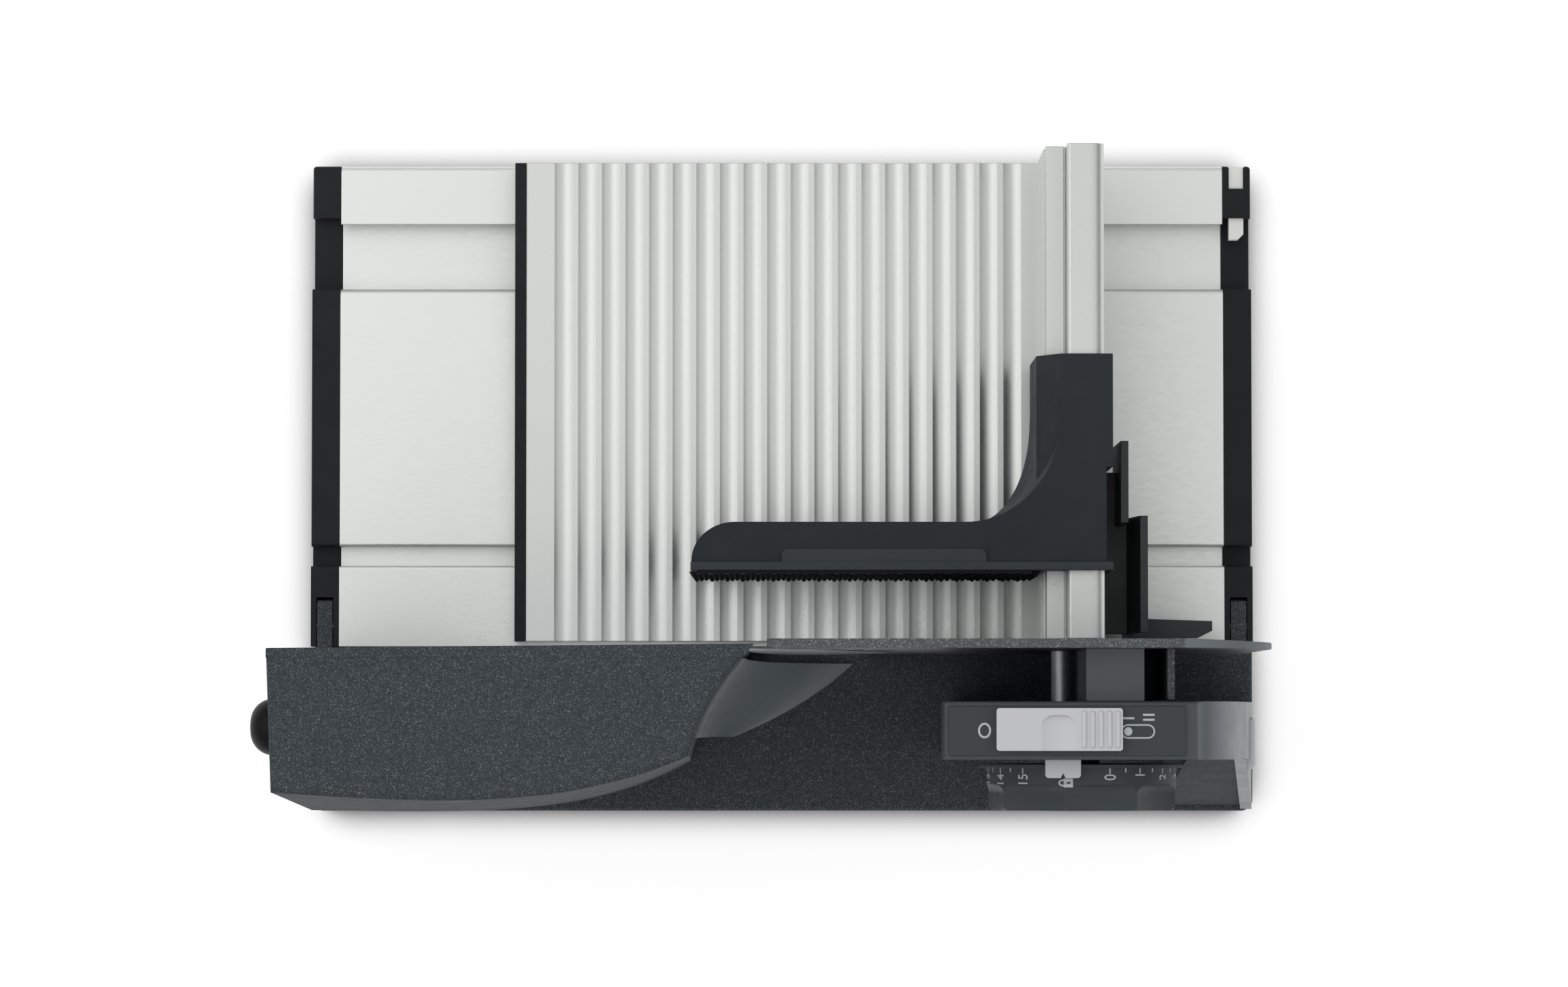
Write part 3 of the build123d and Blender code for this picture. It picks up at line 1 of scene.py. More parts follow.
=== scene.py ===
import json
import math
import bpy
import numpy as np
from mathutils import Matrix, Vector


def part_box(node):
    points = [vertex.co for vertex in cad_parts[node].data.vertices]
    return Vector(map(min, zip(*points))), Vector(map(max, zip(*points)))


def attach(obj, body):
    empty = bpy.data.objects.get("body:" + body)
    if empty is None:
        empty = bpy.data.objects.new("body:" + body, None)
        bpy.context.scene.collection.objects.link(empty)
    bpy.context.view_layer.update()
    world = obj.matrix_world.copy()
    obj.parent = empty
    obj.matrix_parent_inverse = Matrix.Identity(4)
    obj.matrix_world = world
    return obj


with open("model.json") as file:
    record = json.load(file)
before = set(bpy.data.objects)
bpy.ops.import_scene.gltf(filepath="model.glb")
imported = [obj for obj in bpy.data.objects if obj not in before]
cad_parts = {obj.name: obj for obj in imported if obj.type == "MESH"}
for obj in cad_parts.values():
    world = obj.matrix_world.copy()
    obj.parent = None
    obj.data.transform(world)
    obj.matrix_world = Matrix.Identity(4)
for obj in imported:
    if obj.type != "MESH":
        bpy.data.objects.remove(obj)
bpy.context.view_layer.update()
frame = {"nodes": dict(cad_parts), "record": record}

nodes = frame["nodes"]
mm = 0.001

# The base's middle and its front edge give the zero of the millimetres used here
baseLow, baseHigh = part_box("base_plate")
midX = (baseLow.x + baseHigh.x) / 2
cutY = baseHigh.y - 172 * mm


def at(x, y, z):
    # a place in millimetres from the base's middle, the cutting plane and the table
    return Vector((midX + x * mm, cutY + y * mm, z * mm))


class Net:
    # short way to put nodes and links in a tree
    def __init__(self, tree):
        self.tree = tree

    def add(self, kind, **values):
        node = self.tree.nodes.new(kind)
        for key, value in values.items():
            if hasattr(node, key):
                setattr(node, key, value)
            else:
                node.inputs[key.replace("_", " ")].default_value = value
        return node

    def link(self, a, b):
        self.tree.links.new(a, b)

    def maths(self, operation, first, second=None):
        node = self.add("ShaderNodeMath", operation=operation)
        for index, value in enumerate((first, second)):
            if value is None:
                continue
            if isinstance(value, (int, float)):
                node.inputs[index].default_value = value
            else:
                self.link(value, node.inputs[index])
        return node.outputs[0]

    def span(self, value, low, high, toLow, toHigh):
        node = self.add("ShaderNodeMapRange")
        node.inputs["From Min"].default_value = low
        node.inputs["From Max"].default_value = high
        for name, end in (("To Min", toLow), ("To Max", toHigh)):
            if isinstance(end, (int, float)):
                node.inputs[name].default_value = end
            else:
                self.link(end, node.inputs[name])
        self.link(value, node.inputs["Value"])
        return node.outputs["Result"]

    def mixColour(self, share, first, second):
        node = self.add("ShaderNodeMix", data_type="RGBA")
        self.link(share, node.inputs[0])
        for index, value in ((6, first), (7, second)):
            if isinstance(value, tuple):
                node.inputs[index].default_value = value
            else:
                self.link(value, node.inputs[index])
        return node.outputs[2]


print("camera and stage")
camera = {
    "photoWidth": 2400,
    "focalPixels": 8532,
    "height": 2000,
    "place": (0.8, -26.3),
    "tiltDegrees": 2.366,
    "sensorWidth": 36,
}


def makeCamera(c):
    data = bpy.data.cameras.new("photoCamera")
    data.sensor_width = c["sensorWidth"]
    data.lens = c["focalPixels"] / c["photoWidth"] * c["sensorWidth"]
    data.clip_end = 20
    eye = bpy.data.objects.new("photoCamera", data)
    eye.location = at(c["place"][0], c["place"][1], c["height"])
    eye.rotation_euler = (math.radians(c["tiltDegrees"]), 0, 0)
    bpy.context.scene.collection.objects.link(eye)
    bpy.context.scene.camera = eye


makeCamera(camera)

studio = {
    "floorHalf": 6.0,
    "floorColour": (0.42, 0.42, 0.42, 1),
    "floorRough": 0.9,
    "floorSpecular": 0.1,
    "floorGlow": 0.74,
    "shadowReach": 0.016,
    "shadowDepth": 4.4,
    "skyLeft": 0.84,
    "skyRight": 0.62,
    "mirrorTop": 0.85,
    "mirrorRight": 0.30,
    "mirrorSide": 0.45,
    "mirrorRise": 0.7,
    "key": {"place": (-1350, 500, 1850), "size": 2.6, "watts": 10},
    "fill": {"place": (1300, -300, 1900), "size": 1.8, "watts": 4},
}


def makeLamp(name, lamp):
    data = bpy.data.lights.new(name, "AREA")
    data.shape = "DISK"
    data.size = lamp["size"]
    data.energy = lamp["watts"]
    light = bpy.data.objects.new(name, data)
    light.location = at(*lamp["place"])
    aim = at(0, 60, 60) - light.location
    light.rotation_euler = aim.to_track_quat("-Z", "Y").to_euler()
    bpy.context.scene.collection.objects.link(light)


def seenRays(net):
    # 1 for a ray from the camera, off a glossy surface or through glass, else 0
    path = net.add("ShaderNodeLightPath").outputs
    first = net.maths("MAXIMUM", path["Is Camera Ray"], path["Is Glossy Ray"])
    return net.maths("MAXIMUM", first, path["Is Transmission Ray"])


def makeSky(s):
    # the left side of the room is brighter than the right one, in its light and in its mirror image,
    # and the mirror image darkens towards the horizon; the camera itself sees plain white
    world = bpy.data.worlds.new("softStudio")
    bpy.context.scene.world = world
    world.use_nodes = True
    world.node_tree.nodes.clear()
    net = Net(world.node_tree)
    axes = net.add("ShaderNodeSeparateXYZ")
    net.link(net.add("ShaderNodeTexCoord").outputs["Generated"], axes.inputs[0])
    light = net.span(axes.outputs["X"], -1, 1, s["skyLeft"], s["skyRight"])
    sideways = net.span(axes.outputs["X"], 0, 1, s["mirrorTop"], s["mirrorRight"])
    upwards = net.span(axes.outputs["Z"], 0, s["mirrorRise"], s["mirrorSide"], 1.0)
    mirror = net.maths("MULTIPLY", sideways, upwards)
    camera = net.add("ShaderNodeLightPath").outputs["Is Camera Ray"]
    share = seenRays(net)
    seen = net.maths("MULTIPLY", net.maths("MAXIMUM", mirror, camera), share)
    unseen = net.maths("MULTIPLY", light, net.maths("SUBTRACT", 1.0, share))
    sky = net.add("ShaderNodeBackground", Color=(1, 1, 1, 1))
    net.link(net.maths("ADD", seen, unseen), sky.inputs["Strength"])
    net.link(sky.outputs[0], net.add("ShaderNodeOutputWorld").inputs["Surface"])


def makeFloor(s):
    half = s["floorHalf"]
    mesh = bpy.data.meshes.new("studioFloor")
    corners = [(-half, -half, 0), (half, -half, 0), (half, half, 0), (-half, half, 0)]
    mesh.from_pydata(corners, [], [(0, 1, 2, 3)])
    floor = bpy.data.objects.new("studioFloor", mesh)
    bpy.context.scene.collection.objects.link(floor)
    paper = bpy.data.materials.new("studioPaper")
    paper.use_nodes = True
    tree = paper.node_tree
    shader = tree.nodes["Principled BSDF"]
    shader.inputs["Base Color"].default_value = s["floorColour"]
    shader.inputs["Roughness"].default_value = s["floorRough"]
    shader.inputs["Specular IOR Level"].default_value = s["floorSpecular"]
    net = Net(tree)
    # the paper glows for the seen rays, less so close to the feet of the object, where its shadow is
    near = net.add("ShaderNodeAmbientOcclusion", Distance=s["shadowReach"]).outputs["AO"]
    hidden = net.maths("SUBTRACT", 1.0, near)
    shade = net.maths("MULTIPLY", net.maths("MULTIPLY", hidden, hidden), s["shadowDepth"])
    lit = net.maths("MAXIMUM", net.maths("SUBTRACT", 1.0, shade), 0.0)
    glow = net.maths("MULTIPLY", seenRays(net), net.maths("MULTIPLY", lit, s["floorGlow"]))
    shader.inputs["Emission Color"].default_value = (1, 1, 1, 1)
    net.link(glow, shader.inputs["Emission Strength"])
    mesh.materials.append(paper)


makeSky(studio)
makeFloor(studio)
makeLamp("keyLight", studio["key"])
makeLamp("fillLight", studio["fill"])
bpy.context.scene.view_settings.view_transform = "Standard"


print("surface effects")


noiseSpan = (0.3, 0.7)    # where a noise value mostly lies
cloudScale = 18.0         # slow colour drift, in waves for each metre
patchScale = 90.0         # patchy sheen
metalCloudScale = 14.0    # the same on metal
metalDrift = 0.05         # share of slow drift on metal
glintShare = 0.8          # how metallic the brightest fleck is


def newGroup(name, inputs, outputs):
    group = bpy.data.node_groups.new(name, "ShaderNodeTree")
    for label, kind, value in inputs:
        socket = group.interface.new_socket(label, in_out="INPUT", socket_type=kind)
        socket.default_value = value
    for label, kind in outputs:
        group.interface.new_socket(label, in_out="OUTPUT", socket_type=kind)
    net = Net(group)
    return group, net, net.add("NodeGroupInput").outputs, net.add("NodeGroupOutput").inputs


def makeMouldedGroup():
    # fine mould grain, slow colour drift and patchy sheen for a moulded surface
    group, net, given, made = newGroup(
        "mouldedSurface",
        [("Colour", "NodeSocketColor", (0.1, 0.1, 0.1, 1)), ("Drift", "NodeSocketFloat", 0.12),
         ("Grain", "NodeSocketFloat", 1500), ("Depth", "NodeSocketFloat", 0.00002),
         ("Rough Low", "NodeSocketFloat", 0.45), ("Rough High", "NodeSocketFloat", 0.6),
         ("Edge", "NodeSocketFloat", 0.0004)],
        [("Colour", "NodeSocketColor"), ("Roughness", "NodeSocketFloat"), ("Normal", "NodeSocketVector")])
    where = net.add("ShaderNodeTexCoord").outputs["Object"]
    cloud = net.add("ShaderNodeTexNoise", Scale=cloudScale, Detail=3.0)
    net.link(where, cloud.inputs["Vector"])
    patch = net.add("ShaderNodeTexNoise", Scale=patchScale, Detail=2.0)
    net.link(where, patch.inputs["Vector"])
    grain = net.add("ShaderNodeTexNoise", Detail=1.0)
    net.link(given["Grain"], grain.inputs["Scale"])
    net.link(where, grain.inputs["Vector"])
    swing = net.maths("MULTIPLY", net.maths("SUBTRACT", cloud.outputs["Fac"], 0.5), given["Drift"])
    bright = net.maths("ADD", swing, 1.0)
    tint = net.add("ShaderNodeVectorMath", operation="SCALE")
    net.link(given["Colour"], tint.inputs[0])
    net.link(bright, tint.inputs["Scale"])
    net.link(tint.outputs[0], made["Colour"])
    sheen = net.span(patch.outputs["Fac"], *noiseSpan, given["Rough Low"], given["Rough High"])
    net.link(sheen, made["Roughness"])
    soft = net.add("ShaderNodeBevel", samples=4)
    net.link(given["Edge"], soft.inputs["Radius"])
    bump = net.add("ShaderNodeBump", Strength=1.0)
    net.link(given["Depth"], bump.inputs["Distance"])
    net.link(grain.outputs["Fac"], bump.inputs["Height"])
    net.link(soft.outputs["Normal"], bump.inputs["Normal"])
    net.link(bump.outputs["Normal"], made["Normal"])
    return group


def makeSpeckleGroup():
    # light and dark flecks, one value for each tiny cell, laid over a colour
    group, net, given, made = newGroup(
        "metalFlecks",
        [("Colour", "NodeSocketColor", (0.1, 0.1, 0.1, 1)),
         ("Fleck", "NodeSocketColor", (0.4, 0.42, 0.43, 1)),
         ("Cells", "NodeSocketFloat", 2600), ("Share", "NodeSocketFloat", 0.12),
         ("Shade", "NodeSocketFloat", 0.5)],
        [("Colour", "NodeSocketColor"), ("Mask", "NodeSocketFloat")])
    where = net.add("ShaderNodeTexCoord").outputs["Object"]
    cells = net.add("ShaderNodeTexVoronoi", feature="F1")
    net.link(given["Cells"], cells.inputs["Scale"])
    net.link(where, cells.inputs["Vector"])
    parts = net.add("ShaderNodeSeparateColor")
    net.link(cells.outputs["Color"], parts.inputs[0])
    edge = net.maths("SUBTRACT", 1.0, given["Share"])
    light = net.maths("GREATER_THAN", parts.outputs[0], edge)
    glint = net.maths("MULTIPLY", light, net.maths("MULTIPLY", parts.outputs[1], glintShare))
    shaded = net.add("ShaderNodeVectorMath", operation="SCALE")
    net.link(given["Colour"], shaded.inputs[0])
    low = net.maths("SUBTRACT", 1.0, net.maths("MULTIPLY", given["Shade"], 0.5))
    net.link(net.span(parts.outputs[2], 0.0, 1.0, low, net.maths("ADD", low, given["Shade"])),
             shaded.inputs["Scale"])
    net.link(net.mixColour(glint, shaded.outputs[0], given["Fleck"]), made["Colour"])
    net.link(glint, made["Mask"])
    return group


def makeBrushedGroup():
    # long thin scratches along one axis: noise read on stretched coordinates
    group, net, given, made = newGroup(
        "brushedLines",
        [("Colour", "NodeSocketColor", (0.7, 0.7, 0.7, 1)), ("Contrast", "NodeSocketFloat", 0.1),
         ("Stretch", "NodeSocketVector", (12, 2600, 2600)), ("Depth", "NodeSocketFloat", 0.000008),
         ("Rough Low", "NodeSocketFloat", 0.28), ("Rough High", "NodeSocketFloat", 0.42),
         ("Edge", "NodeSocketFloat", 0.0004)],
        [("Colour", "NodeSocketColor"), ("Roughness", "NodeSocketFloat"), ("Normal", "NodeSocketVector")])
    where = net.add("ShaderNodeTexCoord").outputs["Object"]
    stretched = net.add("ShaderNodeVectorMath", operation="MULTIPLY")
    net.link(where, stretched.inputs[0])
    net.link(given["Stretch"], stretched.inputs[1])
    lines = net.add("ShaderNodeTexNoise", Scale=1.0, Detail=4.0)
    net.link(stretched.outputs[0], lines.inputs["Vector"])
    cloud = net.add("ShaderNodeTexNoise", Scale=metalCloudScale, Detail=2.0)
    net.link(where, cloud.inputs["Vector"])
    swing = net.maths("MULTIPLY", net.maths("SUBTRACT", lines.outputs["Fac"], 0.5), given["Contrast"])
    drift = net.maths("MULTIPLY", net.maths("SUBTRACT", cloud.outputs["Fac"], 0.5), metalDrift)
    tint = net.add("ShaderNodeVectorMath", operation="SCALE")
    net.link(given["Colour"], tint.inputs[0])
    net.link(net.maths("ADD", net.maths("ADD", swing, drift), 1.0), tint.inputs["Scale"])
    net.link(tint.outputs[0], made["Colour"])
    sheen = net.span(lines.outputs["Fac"], *noiseSpan, given["Rough Low"], given["Rough High"])
    net.link(sheen, made["Roughness"])
    soft = net.add("ShaderNodeBevel", samples=4)
    net.link(given["Edge"], soft.inputs["Radius"])
    bump = net.add("ShaderNodeBump", Strength=1.0)
    net.link(given["Depth"], bump.inputs["Distance"])
    net.link(lines.outputs["Fac"], bump.inputs["Height"])
    net.link(soft.outputs["Normal"], bump.inputs["Normal"])
    net.link(bump.outputs["Normal"], made["Normal"])
    return group


mouldedGroup = makeMouldedGroup()
speckleGroup = makeSpeckleGroup()
brushedGroup = makeBrushedGroup()


def placeGroup(net, group, values):
    node = net.add("ShaderNodeGroup")
    node.node_tree = group
    for label, value in values.items():
        node.inputs[label].default_value = value
    return node


def startMaterial(name):
    material = bpy.data.materials.new(name)
    material.use_nodes = True
    shader = material.node_tree.nodes["Principled BSDF"]
    return material, Net(material.node_tree), shader


def wire(net, surface, shader):
    net.link(surface.outputs["Colour"], shader.inputs["Base Color"])
    net.link(surface.outputs["Roughness"], shader.inputs["Roughness"])
    net.link(surface.outputs["Normal"], shader.inputs["Normal"])


def mouldedMaterial(name, colour, rough=(0.45, 0.6), drift=0.14, grain=1500, depth=0.00002, specular=0.2,
                    edge=0.0004):
    material, net, shader = startMaterial(name)
    surface = placeGroup(net, mouldedGroup, {"Colour": (*colour, 1), "Drift": drift, "Grain": grain,
                                             "Depth": depth, "Rough Low": rough[0], "Rough High": rough[1],
                                             "Edge": edge})
    wire(net, surface, shader)
    shader.inputs["Specular IOR Level"].default_value = specular
    return material


fleckSize = {"Cells": 3600, "Share": 0.14, "Shade": 0.8}
fleckGrain = {"Drift": 0.1, "Grain": 1700, "Depth": 0.00002}


def fleckedMaterial(name, colour, fleck, rough=(0.6, 0.72), specular=0.2):
    material, net, shader = startMaterial(name)
    flecks = placeGroup(net, speckleGroup, {"Colour": (*colour, 1), "Fleck": (*fleck, 1), **fleckSize})
    surface = placeGroup(net, mouldedGroup, {"Rough Low": rough[0], "Rough High": rough[1], **fleckGrain})
    net.link(flecks.outputs["Colour"], surface.inputs["Colour"])
    wire(net, surface, shader)
    net.link(flecks.outputs["Mask"], shader.inputs["Metallic"])
    shader.inputs["Specular IOR Level"].default_value = specular
    return material


def brushedMaterial(name, colour, stretch, contrast, rough, depth=0.000008):
    material, net, shader = startMaterial(name)
    surface = placeGroup(net, brushedGroup, {"Colour": (*colour, 1), "Contrast": contrast, "Stretch": stretch,
                                             "Depth": depth, "Rough Low": rough[0], "Rough High": rough[1]})
    wire(net, surface, shader)
    shader.inputs["Metallic"].default_value = 1.0
    return material


print("materials")
finishes = {
    "aluminium": brushedMaterial("anodisedBase", (0.77, 0.785, 0.765), (300, 1900, 1900), 0.10, (0.42, 0.52)),
    "cap_black": mouldedMaterial("capBlack", (0.010, 0.013, 0.015), (0.5, 0.62)),
    "rubber": mouldedMaterial("footRubber", (0.02, 0.02, 0.02), (0.7, 0.85), depth=0.00004),
    "screw_steel": brushedMaterial("screwSteel", (0.6, 0.6, 0.6), (900, 900, 900), 0.1, (0.25, 0.4)),
    "lock_white": mouldedMaterial("lockWhite", (0.86, 0.86, 0.83), (0.35, 0.5), drift=0.05),
    "tray_metal": brushedMaterial("trayMetal", (0.67, 0.685, 0.67), (1400, 1100, 1400), 0.14, (0.38, 0.48)),
    "glide": mouldedMaterial("glidePlastic", (0.55, 0.55, 0.53), (0.35, 0.5), drift=0.06),
    "pusher_plastic": mouldedMaterial("pusherPlastic", (0.022, 0.028, 0.032), (0.55, 0.68), depth=0.00003),
    "guard_black": mouldedMaterial("guardBlack", (0.026, 0.030, 0.033), (0.35, 0.45), depth=0.00001,
                                   specular=0.4),
    "housing_plastic": fleckedMaterial("fleckedHousing", (0.046, 0.055, 0.061), (0.25, 0.27, 0.285),
                                       specular=0.08),
    "smooth_plastic": mouldedMaterial("smoothGrey", (0.11, 0.125, 0.135), (0.4, 0.5), drift=0.06, grain=900,
                                      depth=0.000006),
    "blade_steel": brushedMaterial("bladeSteel", (0.52, 0.55, 0.57), (500, 500, 500), 0.06, (0.2, 0.28),
                                   0.000002),
    "gear_plastic": mouldedMaterial("gearPlastic", (0.62, 0.57, 0.42), (0.35, 0.5)),
    "motor_steel": brushedMaterial("motorSteel", (0.42, 0.42, 0.43), (900, 900, 900), 0.15, (0.35, 0.5)),
    "copper_core": mouldedMaterial("windingCopper", (0.36, 0.15, 0.07), (0.35, 0.5), grain=2600,
                                   depth=0.00008),
    "bearing_steel": brushedMaterial("groundSteel", (0.45, 0.47, 0.48), (1200, 1200, 30), 0.08, (0.4, 0.5)),
    "brass_worm": brushedMaterial("wormBrass", (0.72, 0.5, 0.2), (40, 2000, 2000), 0.1, (0.25, 0.35)),
    "stop_metal": mouldedMaterial("stopPaint", (0.085, 0.095, 0.102), (0.45, 0.6)),
    "slider_grey": mouldedMaterial("sliderGrey", (0.56, 0.57, 0.58), (0.35, 0.48), drift=0.05),
    "tab_clear": mouldedMaterial("tabFrosted", (0.50, 0.52, 0.53), (0.25, 0.35), drift=0.08),
    "board_green": mouldedMaterial("boardGreen", (0.02, 0.11, 0.05), (0.3, 0.4)),
    "knob_black": mouldedMaterial("knobBlack", (0.004, 0.004, 0.005), (0.35, 0.45), drift=0.05,
                                  depth=0.000004, specular=0.14),
}


def pastLine(net, lineX):
    # 0 left of a line across the piece and 1 right of it, over a short soft step; it masks where a painted
    # lighter colour goes
    axes = net.add("ShaderNodeSeparateXYZ")
    net.link(net.add("ShaderNodeTexCoord").outputs["Object"], axes.inputs[0])
    edge = at(lineX, 0, 0).x
    return net.span(axes.outputs["X"], edge - softStep, edge + softStep, 0.0, 1.0)


def headMaterial(c):
    # the head is dark; past a line its column is painted lighter, a painted sheen for the light its sloping
    # face catches
    material, net, shader = startMaterial("headPaintedSheen")
    surface = placeGroup(net, mouldedGroup, c["surface"])
    colour = net.mixColour(pastLine(net, c["lineX"]), (*c["dark"], 1), (*c["light"], 1))
    net.link(colour, surface.inputs["Colour"])
    wire(net, surface, shader)
    return material


def stopMaterial(c):
    # the stop plate is speckled where food passes; its rounded right end is smooth and painted lighter, a
    # painted highlight for the light that corner catches
    material, net, shader = startMaterial("stopPaintedHighlight")
    flecks = placeGroup(net, speckleGroup, c["flecks"])
    surface = placeGroup(net, mouldedGroup, c["surface"])
    colour = net.mixColour(pastLine(net, c["lineX"]), flecks.outputs["Colour"], (*c["light"], 1))
    net.link(colour, surface.inputs["Colour"])
    wire(net, surface, shader)
    return material


softStep = 0.4 * mm
# dark is the head's own colour; light is the column's painted sheen colour, not a second paint
headLook = {"lineX": 135.2, "dark": (0.048, 0.056, 0.061), "light": (0.108, 0.124, 0.134),
            "surface": {"Drift": 0.08, "Grain": 900, "Depth": 0.000006, "Rough Low": 0.34,
                        "Rough High": 0.44}}
# light is the painted highlight colour of the plate's rounded right end, from where its corner starts to bend
# down
stopLook = {"lineX": 131.0, "light": (0.125, 0.14, 0.15),
            "flecks": {"Colour": (0.06, 0.068, 0.074, 1), "Fleck": (0.36, 0.38, 0.4, 1), "Cells": 3300,
                       "Share": 0.14, "Shade": 0.8},
            "surface": {"Drift": 0.08, "Grain": 1700, "Depth": 0.000012, "Rough Low": 0.45,
                        "Rough High": 0.55}}
ownFinish = {
    "control_housing": headMaterial(headLook),
    "stop_plate": stopMaterial(stopLook),
    "switch_panel": mouldedMaterial("headPanel", (0.045, 0.053, 0.058), (0.4, 0.5), 0.08, 900, 0.000006),
    "control_back": fleckedMaterial("fleckedSkirt", (0.044, 0.052, 0.057), (0.2, 0.22, 0.235), (0.8, 0.9)),
    "thickness_dial": mouldedMaterial("dialSatin", (0.052, 0.061, 0.066), (0.4, 0.5), 0.08, 1200, 0.000006,
                                      0.15),
    "guide_block": mouldedMaterial("guideGrey", (0.11, 0.125, 0.133), (0.36, 0.44), 0.1, specular=0.5),
    "guide_rod": brushedMaterial("rodSteel", (0.72, 0.74, 0.75), (900, 30, 900), 0.1, (0.4, 0.5)),
    # the flange is a lighter copy of the pusher plastic: a painted highlight for its lit edges
    "pusher_flange": mouldedMaterial("flangePaintedHighlight", (0.027, 0.034, 0.039), (0.45, 0.55), depth=0.00002,
                                     specular=0.35, edge=0.0006),
    "pusher_teeth": mouldedMaterial("teethBlack", (0.008, 0.009, 0.010), (0.45, 0.6), depth=0.00001),
    "dial_spindle": mouldedMaterial("spindleBlack", (0.02, 0.022, 0.025), (0.4, 0.5), 0.06),
    # the scoop's smooth finish is real, but its colour is raised above the housing's as a painted sheen for
    # the bright band it shows
    "scoop_flank": mouldedMaterial("scoopPaintedSheen", (0.135, 0.155, 0.165), (0.32, 0.4), 0.06, 1200, 0.000006,
                                   0.45),
}


def dress(node, material):
    mesh = node.data
    mesh.materials.clear()
    mesh.materials.append(material)


slotOf = {row["node"]: row["material_slot"] for row in frame["record"]["subparts"]}
for name, node in nodes.items():
    dress(node, ownFinish.get(name, finishes[slotOf[name]]))


print("marks on the dial and the switch")
markPaint = mouldedMaterial("markPaint", (0.50, 0.53, 0.55), (0.5, 0.6), drift=0.05, depth=0.000002)
dialPlace = {"x": 99.65, "z": 145.0, "radius": 31.4, "lift": 0.12, "zeroTurn": 14.2, "step": 20.34,
             "lockTurn": -8.0, "lockLow": -47.1, "tickLow": -42.7, "tickTop": -40.7, "halfLow": -42.2,
             "tickWidth": 0.5, "halfSteps": 31, "letterSize": 5.0, "textTop": -42.8, "textHigh": 3.9,
             "textSqueeze": 0.76}
panelMarks = {"top": 189.4, "lift": 0.12, "stroke": 0.7, "ringAt": (65.9, -28.5), "ringHalf": (1.8, 2.2),
              "bars": ((110.6, 114.5, -24.5), (117.3, 121.1, -23.4), (117.3, 121.1, -25.0)),
              "slotX": (110.3, 121.0), "slotY": (-30.9, -26.7), "slotStroke": 0.525,
              "dotAt": (112.5, -28.8), "dotRadius": 1.4}


def addPiece(name, points, faces, body, material):
    mesh = bpy.data.meshes.new(name)
    mesh.from_pydata(points.tolist(), [], faces)
    mesh.materials.append(material)
    piece = bpy.data.objects.new(name, mesh)
    bpy.context.scene.collection.objects.link(piece)
    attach(piece, body)
    return piece


def thicken(flat, faces, lift):
    # a flat figure of points (x, y) becomes a closed slab from height 0 to lift
    count = len(flat)
    low = np.column_stack([flat, np.zeros(count)])
    high = np.column_stack([flat, np.full(count, lift)])
    edges = {}
    for face in faces:
        for a, b in zip(face, face[1:] + face[:1]):
            edges[(a, b)] = edges.get((a, b), 0) + 1
    rim = [(a, b) for a, b in edges if (b, a) not in edges]
    walls = [(a, b, b + count, a + count) for a, b in rim]
    floors = [tuple(reversed(face)) for face in faces]
    tops = [tuple(i + count for i in face) for face in faces]
    return np.vstack([low, high]), floors + tops + walls


def stripFigure(centre, width, closed):
    # a line of points widened by half the width to both sides along its normals
    line = np.array(centre, float)
    ahead = np.roll(line, -1, 0) - np.roll(line, 1, 0)
    if not closed:
        ahead[0] = line[1] - line[0]
        ahead[-1] = line[-1] - line[-2]
    ahead /= np.linalg.norm(ahead, axis=1)[:, None]
    side = np.column_stack([-ahead[:, 1], ahead[:, 0]]) * width / 2
    count = len(line)
    flat = np.vstack([line - side, line + side])
    last = count if closed else count - 1
    faces = [(i, (i + 1) % count, (i + 1) % count + count, i + count) for i in range(last)]
    return flat, faces


def roundedLoop(x0, x1, y0, y1, radius):
    # the four quarter circles of a rounded rectangle, one after the other
    turns = np.linspace(0, math.pi / 2, 8)
    corners = [(x1 - radius, y1 - radius, 0), (x0 + radius, y1 - radius, 1), (x0 + radius, y0 + radius, 2),
               (x1 - radius, y0 + radius, 3)]
    parts = [np.column_stack([cx + radius * np.cos(turns + k * math.pi / 2),
                              cy + radius * np.sin(turns + k * math.pi / 2)]) for cx, cy, k in corners]
    return np.vstack(parts)


def ellipse(middle, half, count):
    # the middle plus the half widths times the cosine and sine of evenly spaced turns
    turns = np.linspace(0, 2 * math.pi, count, endpoint=False)
    return np.column_stack([middle[0] + half[0] * np.cos(turns), middle[1] + half[1] * np.sin(turns)])


def discFigure(cx, cy, radius, count=40):
    # a circle filled from its middle
    flat = np.vstack([[[cx, cy]], ellipse((cx, cy), (radius, radius), count)])
    return flat, [(0, i + 1, (i + 1) % count + 1) for i in range(count)]


def joinFigures(figures):
    # all figures as one, each one's faces counted on from the points before it
    flats, faces, base = [], [], 0
    for flat, own in figures:
        flats.append(flat)
        faces += [tuple(i + base for i in face) for face in own]
        base += len(flat)
    return np.vstack(flats), faces


def textFigure(text, size):
    # the letters as flat triangles and quads, in millimetres from the text's left foot
    curve = bpy.data.curves.new("numeral", "FONT")
    curve.body = text
    curve.size = size
    curve.resolution_u = 6
    curve.offset = size * 0.012
    holder = bpy.data.objects.new("numeral", curve)
    bpy.context.scene.collection.objects.link(holder)
    mesh = bpy.data.meshes.new_from_object(holder)
    bpy.data.objects.remove(holder)
    count = len(mesh.vertices)
    flat = np.empty(count * 3)
    mesh.vertices.foreach_get("co", flat)
    flat = flat.reshape(-1, 3)[:, :2]
    faces = [tuple(p.vertices) for p in mesh.polygons]
    bpy.data.meshes.remove(mesh)
    keep, back = np.unique(np.round(flat, 5), axis=0, return_inverse=True)
    back = back.ravel()
    return keep, [tuple(int(back[i]) for i in face) for face in faces]


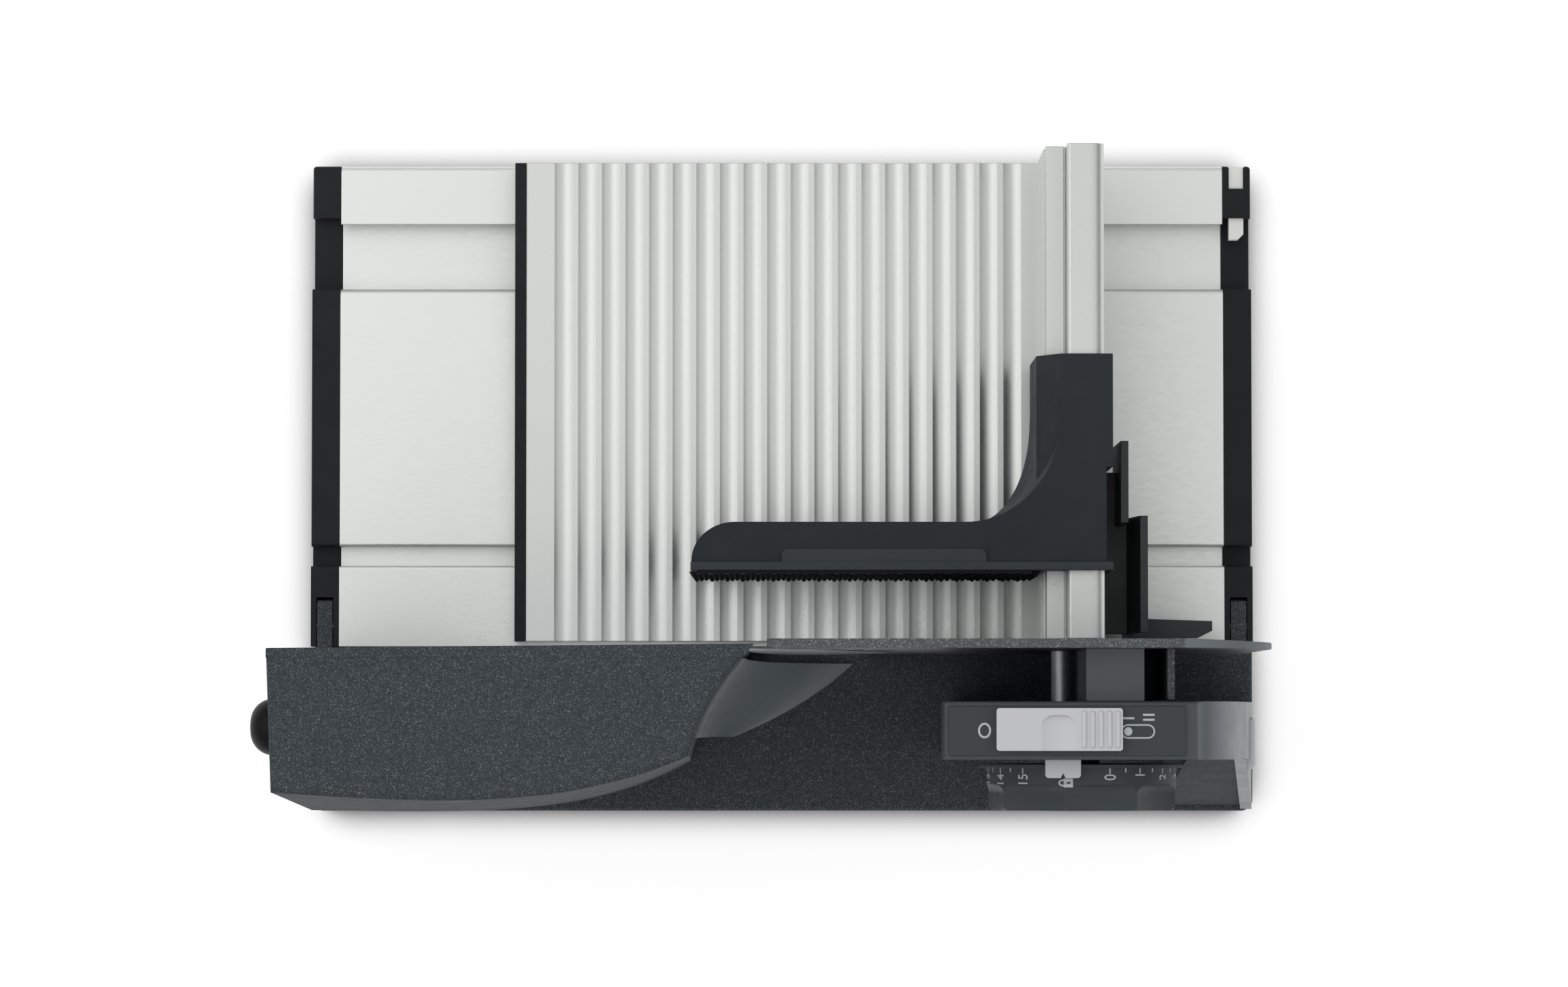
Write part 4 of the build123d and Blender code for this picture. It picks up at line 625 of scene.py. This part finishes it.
def onDial(points, d):
    # x runs along the dial's axis towards the blade, y round its rim, z out from it
    radius = d["radius"] + points[:, 2]
    turn = -points[:, 1] / d["radius"]
    spot = at(d["x"], 0, d["z"])
    return np.column_stack([spot.x + radius * mm * np.sin(turn), spot.y + points[:, 0] * mm,
                            spot.z + radius * mm * np.cos(turn)])


def boxFigure(x0, x1, y0, y1):
    return np.array([(x0, y0), (x1, y0), (x0, y1), (x1, y1)]), [(0, 1, 3, 2)]


def padlockFigure():
    # a padlock lying on its side: four boxes round the keyhole, and the shackle as a bent strip above them
    turns = np.linspace(0, math.pi, 18)
    shackle = np.column_stack([1.5 + 0.9 * np.cos(turns), 3.1 + 1.5 * np.sin(turns)])
    return [boxFigure(0.0, 1.2, 0.0, 3.1), boxFigure(1.8, 3.0, 0.0, 3.1), boxFigure(1.2, 1.8, 0.0, 0.9),
            boxFigure(1.2, 1.8, 2.0, 3.1), stripFigure(shackle, 0.6, False)]


def dialMarks(d):
    figures = []
    for half in range(d["halfSteps"]):
        turn = d["zeroTurn"] + d["step"] * half / 2
        y = -math.radians(turn) * d["radius"]
        low = d["tickLow"] if half % 2 == 0 else d["halfLow"]
        figures.append(boxFigure(low, d["tickTop"], y - d["tickWidth"] / 2, y + d["tickWidth"] / 2))
        if half % 2 == 0:
            flat, faces = textFigure(str(half // 2), d["letterSize"])
            flat *= np.array([[d["textSqueeze"], 1]]) * d["textHigh"] / flat[:, 1].max()
            shift = np.array([[d["textTop"] - flat[:, 0].max(), y - d["textHigh"] / 2]])
            figures.append((flat + shift, faces))
    y = -math.radians(d["lockTurn"]) * d["radius"]
    figures += [(flat + np.array([[d["lockLow"], y]]), faces) for flat, faces in padlockFigure()]
    flat, faces = joinFigures(figures)
    points, faces = thicken(flat, faces, d["lift"])
    return addPiece("dial_scale_marks", onDial(points, d), faces, "dial", markPaint)


def panelFigures(p):
    ring = ellipse(p["ringAt"], p["ringHalf"], 48)
    slot = roundedLoop(*p["slotX"], *p["slotY"], (p["slotY"][1] - p["slotY"][0]) / 2)
    figures = [stripFigure(ring, p["stroke"], True), stripFigure(slot, p["slotStroke"], True),
               discFigure(*p["dotAt"], p["dotRadius"])]
    for x0, x1, y in p["bars"]:
        figures.append(boxFigure(x0, x1, y - p["stroke"] / 2, y + p["stroke"] / 2))
    return figures


def panelPiece(p):
    flat, faces = joinFigures(panelFigures(p))
    points, faces = thicken(flat, faces, p["lift"])
    spot = at(0, 0, p["top"])
    points = points * mm + np.array([[spot.x, spot.y, spot.z]])
    return addPiece("switch_marks", points, faces, "tower", markPaint)


dialMarks(dialPlace)
panelPiece(panelMarks)
